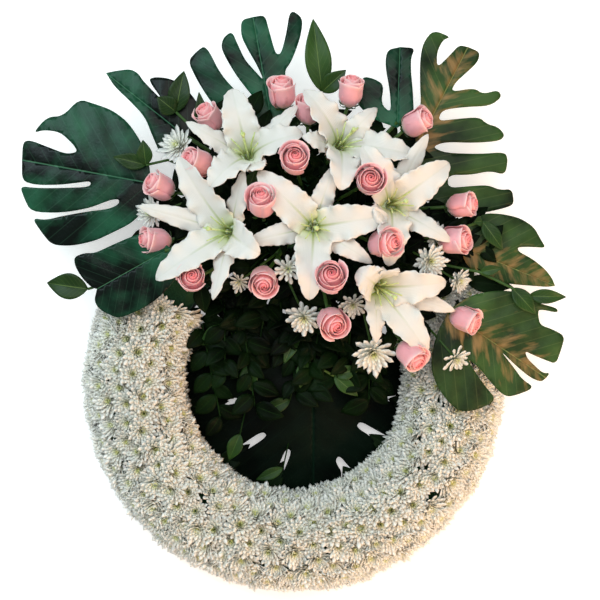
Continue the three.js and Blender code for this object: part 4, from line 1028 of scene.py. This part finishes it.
# %% The lilies
# Each lily: the pixel and level of its mouth, its lean, and the pixel of each petal's tip with its rise.
LILIES = {
    "lily_centre": (314, 227, 188, 0.08, -0.08, [
        (258, 172, 2), (334, 166, -6), (388, 216, -4), (372, 263, -4), (309, 300, 2), (246, 243, -16)]),
    "lily_left": (225, 231, 165, -0.55, 0.05, [
        (178, 157, 0), (244, 170, 22), (260, 254, 48), (213, 300, 22), (156, 280, -5), (138, 206, -14)]),
    "lily_upper_left": (247, 152, 160, -0.12, 0.55, [
        (232, 89, -16), (298, 105, -6), (303, 134, 20), (262, 170, 48), (210, 187, 36), (186, 122, 4)]),
    "lily_upper_right": (342, 143, 160, 0.4, 0.4, [
        (304, 90, 4), (377, 108, -18), (414, 156, 4), (386, 176, 10), (340, 190, 48), (302, 137, 34)]),
    "lily_right": (393, 204, 166, 0.4, 0.05, [
        (362, 146, 20), (428, 134, 2), (449, 163, -5), (452, 242, -5), (388, 266, 10), (374, 222, 30)]),
    "lily_lower_right": (381, 289, 160, 0.45, -0.3, [
        (357, 271, 34), (398, 268, 34), (446, 282, 4), (455, 311, -8), (427, 352, -8), (376, 343, 12)]),
}


def add_lily_heart(parts, rim, axis):
    start = rim - axis * 2
    bend = start + axis * LILY_STYLE
    parts.tube([start, start.lerp(bend, 0.5), bend], [1.7, 1.4, 1.3], slot=1)
    stigma = [bend + axis * rise for rise in (0, 3, 7, 8)]
    parts.tube(stigma, [1.3, 2.2, 3.4, 2.0], slot=1, sides=6)
    side = axis.cross(Vector((1, 0.3, 0))).normalized()
    for k in range(6):
        out = Quaternion(axis, k * math.pi / 3) @ side
        root = start + out * 4
        end = start + axis * (LILY_STYLE - 8) + out * 19
        middle = root.lerp(end, 0.55) - out * 3
        parts.tube([root, middle, end], [1.1, 0.9, 0.7], slot=1, sides=5)


for name, (x, y, level, lean_x, lean_y, tips) in LILIES.items():
    axis = leaning(lean_x, lean_y)
    mouth = seen(x, y, level)
    foot, rim = mouth - axis * LILY_THROAT_DEPTH, mouth - axis * 10
    parts = Parts()
    for k, tip_at in enumerate(tips):
        add_lily_petal(parts, mouth, rim, axis, tip_at, k % 2 == 0, rng)
    add_lily_heart(parts, rim, axis)
    trumpet = [foot, foot.lerp(rim, 0.3), foot.lerp(rim, 0.7), rim, rim - axis * 6]
    parts.tube(trumpet, [4, 6.5, 9.5, LILY_CUP_RADIUS - 1.5, 2], slot=2, sides=12)
    path = footed_path(foot + axis * 3)
    parts.tube(path, STEM_RADII["lily"], slot=3)
    piece = parts.to_object(f"white_{name}", [lily_finish, lily_heart_finish, lily_cup_finish, stem_finish],
                            thickness=0.6)
    finish_piece(piece, name)
print("lilies:", len(LILIES))

# %% [markdown]
# A monstera leaf is a flat outline with deep cuts, bent over two gentle curves. The
# outline of each side runs from the base to the tip; its corners are rounded, the
# inside is filled with a fine grid of triangles, and then every point takes its level
# from the same rule as the solid, with a crease along the rib and a swell between veins.

# %% The shape of a cut leaf
GRID_STEP = 4.5
VEIN_SPACING = 36
ROUNDING = 2


def rounded(outline):
    """Cuts the corners of an open outline twice, and keeps its two ends."""
    for _ in range(ROUNDING):
        smooth = [outline[0]]
        for (ax, ay), (bx, by) in zip(outline, outline[1:]):
            smooth.append((0.78 * ax + 0.22 * bx, 0.78 * ay + 0.22 * by))
            smooth.append((0.22 * ax + 0.78 * bx, 0.22 * ay + 0.78 * by))
        outline = smooth + [outline[-1]]
    return outline


def add_cut_leaf(parts, leaf):
    base, tip = Vector(leaf["base"]), Vector(leaf["tip"])
    rib = Vector((tip.x - base.x, base.y - tip.y))
    length = rib.length * MM_PER_PIXEL
    rib.normalize()

    def measures(x, y):
        u, v = (x - base.x) * MM_PER_PIXEL, (base.y - y) * MM_PER_PIXEL
        return u * rib.x + v * rib.y, v * rib.x - u * rib.y

    def place(x, y):
        along, across = measures(x, y)
        level = leaf["level"] + leaf["slope"] * along + leaf.get("tilt", 0) * across
        level -= leaf["droop"] * along ** 2 + leaf["curl"] * across ** 2
        crease = 1.0 * math.exp(-(across / 5) ** 2)
        veined = math.cos(2 * math.pi * (along - 0.5 * abs(across)) / VEIN_SPACING)
        swell = 0.8 * veined * (1 - math.exp(-(across / 12) ** 2))
        return seen(x, y, level - crease - swell)

    for side in ("left", "right"):
        outline = rounded([leaf["base"]] + leaf[side] + [leaf["tip"]])
        ring = [Vector(p) for p in outline]
        inside = [Vector(p) for p in ring]
        low_x, high_x = min(p.x for p in ring), max(p.x for p in ring)
        low_y, high_y = min(p.y for p in ring), max(p.y for p in ring)
        for i in range(int((high_x - low_x) / GRID_STEP)):
            for j in range(int((high_y - low_y) / GRID_STEP)):
                spot = Vector((low_x + (i + 0.5 + 0.5 * (j % 2)) * GRID_STEP, low_y + (j + 0.5) * GRID_STEP))
                inside.append(spot)
        rib_points = [base.lerp(tip, k / 24) for k in range(1, 24)]
        border = list(range(len(ring)))
        flat, _, faces, _, _, _ = delaunay_2d_cdt(inside + rib_points, [], [border], 1, 1e-4)
        used = {i: k for k, i in enumerate(sorted({i for face in faces for i in face}))}
        points = [place(flat[i].x, flat[i].y) for i in used]
        sizes = [measures(flat[i].x, flat[i].y) for i in used]
        faces = [[used[i] for i in face] for face in faces]
        # A pixel's y runs down the picture, so a face that turns one way there turns the other way here.
        faces = [face if facing_up(points, face) else face[::-1] for face in faces]
        parts.add(points, faces, [a / length for a, _ in sizes], [c / (0.6 * length) for _, c in sizes])


def facing_up(points, face):
    a, b, c = (points[i] for i in face[:3])
    return (b - a).cross(c - a).z > 0


print("grid step, pixels:", GRID_STEP)

# %% [markdown]
# The leaves stand where their solids stand, from the same outlines. The stalk of a leaf in
# the spray runs into the foam block, and the stalk of a leaf in the ring's eye runs into
# the inner side of the foam ring.

# %% The cut leaves
# Each leaf's rib and outline in pixels, its level at the base, and its slope, droop and curl from there.
MONSTERAS = {
    "monstera_left": {
        "base": (150, 183), "tip": (22, 160), "level": 118, "slope": -0.05, "droop": 0.0004, "curl": 0.0008,
        "right": [
            (150, 166), (142, 143), (128, 122), (112, 110), (95, 104), (79, 99), (63, 116), (47, 117),
            (33, 133), (44, 130), (60, 132), (73, 144), (78, 152), (66, 154), (48, 147), (30, 140),
            (23, 142),
        ],
        "left": [
            (150, 198), (140, 215), (130, 224), (114, 232), (95, 241), (72, 246), (52, 245), (42, 233),
            (32, 218), (46, 220), (62, 216), (90, 211), (109, 209), (119, 204), (119, 199), (110, 200),
            (90, 208), (62, 213), (31, 212), (24, 198), (20, 186), (36, 188), (60, 188), (90, 187),
            (91, 181), (76, 183), (58, 185), (36, 185), (22, 181),
        ],
    },
    "monstera_lower_left": {
        "base": (170, 248), "tip": (97, 289), "level": 142, "slope": -0.14, "droop": 0, "curl": 0.0004,
        "right": [
            (152, 232), (135, 235), (112, 245), (95, 253), (84, 253), (74, 257), (75, 266), (82, 278),
            (91, 287),
        ],
        "left": [
            (182, 262), (178, 276), (165, 292), (148, 306), (126, 316), (116, 318), (100, 310), (94, 301),
        ],
    },
    "monstera_upper_left": {
        "base": (188, 138), "tip": (106, 73), "level": 122, "slope": -0.03, "droop": 0.0004, "curl": 0.0008,
        "right": [
            (205, 118), (196, 100), (182, 84), (168, 78), (154, 77), (148, 80), (165, 103), (144, 82),
            (138, 73), (130, 69), (115, 71),
        ],
        "left": [
            (162, 158), (152, 135), (145, 117), (130, 101), (114, 86),
        ],
    },
    "monstera_top": {
        "base": (272, 124), "tip": (253, 17), "level": 116, "slope": 0.05, "droop": 0.0006, "curl": 0.0008,
        "right": [
            (292, 118), (290, 92), (284, 72), (291, 62), (296, 50), (301, 35), (303, 18), (290, 9),
            (286, 35), (281, 54), (276, 54), (273, 45), (269, 30), (265, 15),
        ],
        "left": [
            (240, 122), (214, 106), (203, 90), (196, 78), (188, 61), (197, 51), (206, 45), (221, 75),
            (240, 95), (262, 108), (250, 93), (238, 78), (228, 62), (221, 48), (223, 38), (232, 31),
            (238, 45), (245, 60), (255, 71), (264, 81), (257, 65), (248, 50), (241, 36), (241, 20),
        ],
    },
    "monstera_top_right_small": {
        "base": (397, 128), "tip": (400, 47), "level": 128, "slope": 0.02, "droop": 0.0006, "curl": 0.0008,
        "right": [
            (414, 118), (413, 92), (411, 72), (411, 58), (415, 48),
        ],
        "left": [
            (370, 118), (354, 100), (362, 76), (375, 79), (384, 85), (381, 104), (391, 113), (390, 92),
            (385, 65), (387, 50),
        ],
    },
    "monstera_top_right": {
        "base": (414, 152), "tip": (468, 47), "level": 110, "slope": 0, "droop": 0.0004, "curl": 0.0006,
        "right": [
            (425, 190), (440, 208), (470, 215), (488, 212), (509, 207), (514, 203), (512, 189), (500, 190),
            (488, 185), (470, 186), (448, 188), (448, 175), (470, 175), (490, 171), (505, 175), (508, 160),
            (505, 152), (480, 154), (446, 153), (432, 147), (445, 142), (475, 143), (500, 141), (505, 135),
            (498, 127), (487, 124), (479, 117), (455, 119), (438, 121), (442, 110), (465, 107), (490, 106),
            (502, 97), (498, 90), (483, 94), (474, 88), (451, 92), (455, 83), (465, 74), (478, 62),
            (480, 52),
        ],
        "left": [
            (417, 126), (421, 103), (420, 85), (420, 60), (423, 43), (433, 30), (451, 37), (443, 40),
            (437, 52), (437, 68), (450, 55), (459, 45),
        ],
    },
    "monstera_right": {
        "base": (460, 246), "tip": (555, 286), "level": 128, "slope": -0.08, "droop": 0.0004, "curl": 0.0008,
        "right": [
            (466, 266), (488, 279), (508, 284), (534, 286), (547, 287),
        ],
        "left": [
            (470, 224), (484, 213), (503, 214), (520, 218), (534, 227), (541, 240), (546, 248), (533, 247),
            (517, 247), (519, 252), (531, 258), (544, 268), (552, 278),
        ],
    },
    "monstera_lower_right": {
        "base": (448, 312), "tip": (546, 378), "level": 137, "slope": -0.08, "droop": 0.0002, "curl": 0.0003,
        "right": [
            (436, 335), (430, 365), (436, 385), (448, 402), (460, 412), (478, 410), (497, 400), (484, 385),
            (466, 358), (478, 366), (492, 384), (503, 395), (511, 397), (535, 388), (522, 379), (515, 369),
            (500, 350), (512, 362), (521, 370), (531, 378), (541, 382),
        ],
        "left": [
            (468, 296), (496, 290), (520, 292), (538, 303), (557, 308), (558, 313), (539, 309), (538, 314),
            (540, 325), (552, 329), (565, 336), (561, 350), (556, 364), (545, 360), (533, 355), (525, 351),
            (527, 358), (535, 366), (543, 373), (550, 373),
        ],
    },
    "monstera_eye_front": {
        "base": (313, 333), "tip": (313, 495), "level": 38, "slope": 0.169, "droop": 0.00132,
        "tilt": -0.071, "curl": 0.00132,
        "right": [
            (284, 325), (255, 338), (222, 352), (190, 368), (180, 390), (184, 402), (215, 401), (236, 397),
            (243, 402), (215, 407), (184, 408), (190, 432), (206, 458), (212, 462), (240, 446), (262, 431),
            (268, 436), (245, 451), (218, 468), (235, 480), (258, 491), (265, 492), (277, 470), (286, 448),
            (292, 451), (283, 473), (273, 494), (290, 496),
        ],
        "left": [
            (338, 322), (372, 328), (400, 345), (413, 372), (409, 392), (398, 396), (384, 394), (380, 400),
            (396, 402), (405, 418), (394, 440), (376, 430), (360, 421), (356, 427), (372, 437), (382, 456),
            (362, 478), (350, 468), (339, 455), (335, 461), (343, 474), (335, 486),
        ],
    },
    "monstera_eye_back": {
        "base": (262, 300), "tip": (184, 362), "level": 22, "slope": 0.06, "droop": 0.001, "curl": 0.001,
        "right": [
            (240, 290), (212, 297), (196, 310), (218, 314), (222, 320), (190, 326), (184, 340),
        ],
        "left": [
            (284, 316), (276, 345), (262, 372), (246, 390), (226, 402), (200, 402), (186, 386),
        ],
    },
}
LEAF_FINISHES = {
    "monstera_top_right": streaked_monstera_finish, "monstera_right": streaked_monstera_finish,
    "monstera_lower_right": streaked_monstera_finish, "monstera_eye_front": shaded_monstera_finish,
    "monstera_eye_back": shaded_monstera_finish,
}
for name, leaf in MONSTERAS.items():
    parts = Parts()
    add_cut_leaf(parts, leaf)
    base = seen(*leaf["base"], leaf["level"])
    along = (seen(*leaf["tip"], leaf["level"]) - base).normalized()
    root = base + along * 8 - UP
    path = footed_path(root) if leaf["level"] > FOAM_TOP else low_path(root)
    parts.tube(path, STEM_RADII["monstera_leaf"], slot=1)
    finish = LEAF_FINISHES.get(name, monstera_finish)
    piece = parts.to_object(f"cut_{name}", [finish, stem_finish], thickness=0.7)
    finish_piece(piece, name)
print("cut leaves:", len(MONSTERAS))

# %% [markdown]
# Small pointed leaves fill between the flowers. A leaf is a sheet folded a little along its
# rib and bowed along its length, which catches the light on one half and shades the other.

# %% The leafy sprigs
def add_small_leaf(parts, start, tip, width, columns=8, rows=14):
    along = tip - start
    side = UP.cross(along).normalized()
    out = along.cross(side).normalized()

    def place(s, t):
        half = 0.5 * width * (0.05 + 0.95 * math.sin(math.pi * t ** 0.8)) if t < 1 else 0.3
        bow = 0.08 * along.length * math.sin(math.pi * t) + 0.25 * half * abs(s)
        bow += 0.03 * width * math.sin(9 * t + 2 * s) * abs(s)
        return start + along * t + side * s * half + out * bow

    parts.sheet(place, columns, rows)


# Each sprig: the points of its stem, and its leaves by foot, tip and width.
SPRIGS = {
    "sprig_far_left": [[(160, 266, 114), (88, 289, 112)], [
        ((88, 289, 112), (47, 283, 104), 36),
    ]],
    "sprig_upper_left": [[(205, 140, 118), (176, 112, 128)], [
        ((176, 112, 128), (184, 71, 132), 30),
        ((176, 112, 128), (157, 97, 138), 28),
        ((205, 140, 118), (199, 92, 136), 22),
    ]],
    "sprig_left": [[(168, 160, 112), (146, 165, 124)], [
        ((146, 165, 124), (143, 140, 132), 22),
        ((146, 165, 124), (113, 157, 128), 22),
    ]],
    "sprig_centre": [[(262, 208, 126), (241, 205, 136)], [
        ((241, 205, 136), (257, 168, 140), 24),
    ]],
    "sprig_top": [[(318, 130, 112), (322, 92, 124)], [
        ((322, 92, 124), (313, 19, 128), 36),
        ((322, 92, 124), (346, 70, 136), 26),
    ]],
    "sprig_right": [[(440, 236, 112), (482, 221, 134)], [
        ((482, 221, 134), (503, 250, 130), 22),
        ((482, 221, 134), (474, 222, 142), 14),
    ]],
    "sprig_lower_right": [[(430, 262, 112), (480, 272, 136), (512, 288, 134), (528, 296, 134)], [
        ((480, 272, 136), (502, 268, 140), 14),
        ((512, 288, 134), (536, 314, 132), 24),
        ((528, 296, 134), (566, 297, 134), 20),
    ]],
    "sprig_eye": [[(298, 330, 56), (306, 360, 62), (334, 376, 66)], [
        ((298, 330, 56), (284, 364, 66), 20),
        ((306, 360, 62), (300, 388, 66), 20),
        ((334, 376, 66), (360, 368, 66), 20),
        ((334, 376, 66), (358, 396, 62), 20),
    ]],
}
for name, (stem, leaves) in SPRIGS.items():
    parts = Parts()
    points = [seen(*point) for point in stem]
    path = footed_path(points[0]) if points[0].z > FOAM_TOP else low_path(points[0])
    path += points[1:]
    parts.tube(path, STEM_RADII["sprig_leaf"], slot=1)
    for start, tip, width in leaves:
        add_small_leaf(parts, seen(*start), seen(*tip), width)
    piece = parts.to_object(f"leafy_{name}", [sprig_finish, stem_finish], thickness=0.4)
    finish_piece(piece, name)
print("sprigs:", len(SPRIGS))

# %% [markdown]
# A florist hides the foam with cheap greenery before the flowers go in. It isn't
# countable in the picture, only dark between the flowers and thick in the ring's eye,
# so it is grown: stems fan out of the foam and the stem tree sets leaves along them.
# Its leaves are painted near black, as painted shade between the flowers and in the eye.

# %% The dark filling greenery
RUSCUS_LEAF = (34, 15)
BROAD_LEAF = (40, 24)
LEAF_STEP = 15
FAN_WIDTH, FAN_START, FAN_LEVEL = 1.25, 0.22, 92
EYE_EDGE, EYE_HALF, EYE_LEVEL = 168, 150, 50
RIM_START, RIM_END = (240, 66), (286, 42)


def stem_lines(name, paths):
    """Open lines through the points of each path, for the stem tree to walk along."""
    points = [point * MM for path in paths for point in path]
    edges, first = [], 0
    for path in paths:
        edges += [(first + k, first + k + 1) for k in range(len(path) - 1)]
        first += len(path)
    mesh = bpy.data.meshes.new(name)
    mesh.from_pydata(points, edges, [])
    return mesh


def arched(start, end, rise):
    return [start.lerp(end, k / 6) + UP * rise * math.sin(math.pi * k / 6) for k in range(7)]


def fan(rng, count, bearings, reach, levels, rise):
    """Stems that leave the foam block's heart at bearings in degrees and end at a level."""
    paths = []
    for k in range(count):
        bearing = math.radians(bearings[0] + (bearings[1] - bearings[0]) * (k + rng.random()) / count)
        out = rng.uniform(*reach)
        end = HEART + Vector((FAN_WIDTH * out * math.cos(bearing), out * math.sin(bearing), 0))
        end.z = rng.uniform(*levels)
        start = HEART.lerp(end, FAN_START)
        start.z = FAN_LEVEL
        paths.append(arched(start, end, rise))
    return paths


def eye_fan(rng, count):
    """Stems that hang from the foam ring's inner side over the top of its eye."""
    paths = []
    for k in range(count):
        share = (k + 0.5) / count
        across = -EYE_HALF + 2 * EYE_HALF * share + rng.uniform(-8, 8)
        start_x = 0.9 * across
        start = RING + Vector((start_x, math.sqrt(EYE_EDGE ** 2 - start_x ** 2), EYE_LEVEL))
        end = RING + Vector((0.8 * across + rng.uniform(-22, 22), rng.uniform(-60, 70), rng.uniform(46, 66)))
        paths.append(arched(start, end, 10))
    return paths


def rim_fan(count):
    """Stems that hang over the foam ring's outer side, where no flower head covers it."""
    paths = []
    for k in range(count):
        bearing = math.radians(COVER_START - (360 - COVER_SWEEP) * (k + 0.5) / count)
        outward = Vector((math.cos(bearing), math.sin(bearing), 0))
        start, end = (RING + outward * out + UP * level for out, level in (RIM_START, RIM_END))
        paths.append(arched(start, end, 8))
    return paths


def one_leaf(name, size):
    length, width = size
    blade = Parts()
    add_small_leaf(blade, Vector((0, 0, 0)), Vector((length, 0, 0)), width, 4, 7)
    return blade.to_object(name, [filler_finish], thickness=0.5)


ruscus_leaf, broad_leaf = one_leaf("ruscus_leaf", RUSCUS_LEAF), one_leaf("broad_leaf", BROAD_LEAF)
rng = random.Random(23)
FILLERS = {
    "greenery_left": fan(rng, 16, (110, 235), (80, 165), (96, 128), 14),
    "greenery_top": fan(rng, 18, (38, 128), (60, 132), (98, 128), 14),
    "greenery_right": fan(rng, 20, (-30, 55), (70, 150), (96, 126), 14),
    "greenery_middle": fan(rng, 16, (0, 360), (20, 85), (120, 150), 10),
    "greenery_below": fan(rng, 10, (225, 320), (70, 120), (80, 118), 14),
    "greenery_lower_right": fan(rng, 24, (-64, -12), (90, 200), (108, 122), 12),
    "greenery_eye": eye_fan(rng, 18),
    "greenery_rim": rim_fan(30),
}
BROAD_GREENERY = ("greenery_eye", "greenery_below", "greenery_left", "greenery_lower_right", "greenery_rim")
for name, paths in FILLERS.items():
    piece = grow(name, stem_tree, {
        "Leaf": broad_leaf if name in BROAD_GREENERY else ruscus_leaf, "Step": LEAF_STEP * MM,
        "Smallest": 0.75, "Largest": 1.15, "Splay": 0.9, "Seed": 5, "Material": filler_finish,
    }, stem_lines(name, paths))
    finish_piece(piece, None)
    print(name, "triangles:", triangles(piece))
bpy.data.objects.remove(ruscus_leaf)
bpy.data.objects.remove(broad_leaf)

# %% [markdown]
# Some leaves have to be where the picture shows them, so they are set one by one: a few
# lighter ones in the eye in the darker sprig green of painted shade, near-black ones behind
# the spray as painted shade where no floor shows between the flowers, and low near-black
# ones that close the outer ends of the eye leaf's cuts.

# %% Single leaves between the flowers and in the eye
EYE_LEAVES = [
    ((226, 326, 62), (200, 345, 58), 24), ((246, 366, 60), (252, 391, 56), 26),
    ((240, 434, 50), (229, 460, 44), 22), ((283, 468, 44), (256, 480, 40), 16),
    ((393, 439, 46), (376, 460, 40), 16), ((290, 400, 50), (262, 412, 46), 20),
]
BACK_LEAVES = [
    ((371, 146, 104), (373, 110, 100), 32), ((390, 154, 104), (420, 132, 100), 30),
    ((208, 152, 104), (183, 126, 100), 32), ((186, 206, 104), (150, 197, 100), 26),
    ((422, 216, 104), (452, 211, 100), 38), ((200, 284, 98), (205, 313, 92), 24),
    ((460, 226, 108), (488, 207, 104), 22), ((466, 281, 108), (513, 287, 104), 26),
]
EYE_RIM_LEAVES = [
    ((182, 408, 12), (229, 401, 12), 26), ((214, 472, 12), (250, 444, 12), 28),
    ((262, 498, 12), (284, 461, 12), 28), ((358, 488, 12), (343, 466, 12), 26),
    ((402, 456, 12), (369, 434, 12), 28), ((414, 404, 12), (388, 399, 12), 22),
]
HIDDEN_ROOT = HEART + UP * 20


def hanging_stalk(foot):
    return [foot + Vector((2, 9, -3)) * k for k in (4, 2, 0)]


def hidden_stalk(foot):
    return [HIDDEN_ROOT.lerp(foot, k / 3) for k in (1, 2, 3)]


def foam_stalk(foot):
    outward = (foot - RING).normalized()
    return [foot, foot + outward * 12 + UP * 6, foot + outward * 26 + UP * 16]


for name, leaves, finish, stalk, radius in (
        ("greenery_eye_light", EYE_LEAVES, shaded_sprig_finish, hanging_stalk, 0.8),
        ("greenery_back", BACK_LEAVES, filler_finish, hidden_stalk, 1.2),
        ("greenery_eye_rim", EYE_RIM_LEAVES, filler_finish, foam_stalk, 1.0)):
    parts = Parts()
    for start, tip, width in leaves:
        foot = seen(*start)
        add_small_leaf(parts, foot, seen(*tip), width)
        parts.tube(stalk(foot), radius, slot=1)
    piece = parts.to_object(name, [finish, filler_finish], thickness=0.4)
    finish_piece(piece, None)
    print(name, "triangles:", triangles(piece))

# %% [markdown]
# A plain pale floor takes the shadow. Three large soft lights and a bright sky are enough:
# the picture's left is lit cool and its lower right warm, the lilies are whitest at the
# top, and the glossy leaves need something large to reflect.

# %% Floor, light and camera
SKY_STRENGTH = 0.46
FLOOR_GLOW = 0.4


def area_light(name, place, target, size, power, code):
    data = bpy.data.lights.new(name, "AREA")
    data.size = size
    data.energy = power
    data.color = linear(code)[:3]
    light = bpy.data.objects.new(name, data)
    light.location = place
    light.rotation_euler = (Vector(target) - Vector(place)).to_track_quat("-Z", "Y").to_euler()
    scene.collection.objects.link(light)


FLOOR_HALF = 2.5
floor_mesh = bpy.data.meshes.new("floor")
corners = [(x * FLOOR_HALF, y * FLOOR_HALF, 0) for x, y in ((-1, -1), (1, -1), (1, 1), (-1, 1))]
floor_mesh.from_pydata(corners, [], [(0, 1, 2, 3)])
floor = bpy.data.objects.new("floor", floor_mesh)
floor_finish, tree, shader = new_finish("matt white paint", Roughness=0.9, Emission_Strength=FLOOR_GLOW)
shader.inputs["Base Color"].default_value = linear("#f3f3f1")
floor_mesh.materials.append(floor_finish)
scene.collection.objects.link(floor)
floor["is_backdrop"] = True

area_light("cool key", (-1.4, 1.3, 2.2), target=(-0.1, 0, 0.1), size=1.4, power=47, code="#cfe6ee")
area_light("warm fill", (1.1, -1.0, 0.95), target=(0.15, -0.15, 0.1), size=0.8, power=21, code="#ffca98")
area_light("top", (0.25, 0.5, 2.9), target=(0, 0.05, 0), size=1.8, power=33, code="#fffbf6")
world = bpy.data.worlds.new("soft studio")
world.use_nodes = True
world.node_tree.nodes["Background"].inputs["Color"].default_value = linear("#ebf2f2")
world.node_tree.nodes["Background"].inputs["Strength"].default_value = SKY_STRENGTH
scene.world = world
scene.view_settings.view_transform = "Standard"

camera_data = bpy.data.cameras.new("camera")
half_view = MM_PER_PIXEL * PICTURE_MIDDLE
camera_data.angle = 2 * math.atan(half_view / (EYE_HEIGHT - SCALE_LEVEL))
camera = bpy.data.objects.new("camera", camera_data)
camera.location = (EYE.x * MM, EYE.y * MM, EYE_HEIGHT * MM)
scene.collection.objects.link(camera)
scene.camera = camera
print("view angle:", round(math.degrees(camera_data.angle), 2))

# %% [markdown]
# The dressed wreath is meant to keep the solids' size, so both boxes are measured and printed.

# %% Sizes and finish
VISUAL_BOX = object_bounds()
sizes = {"cad": [list(corner) for corner in CAD_BOX], "visual": [list(corner) for corner in VISUAL_BOX]}
for title, (low, high) in sizes.items():
    print(title, "box, mm:", [round((b - a) / MM) for a, b in zip(low, high)])
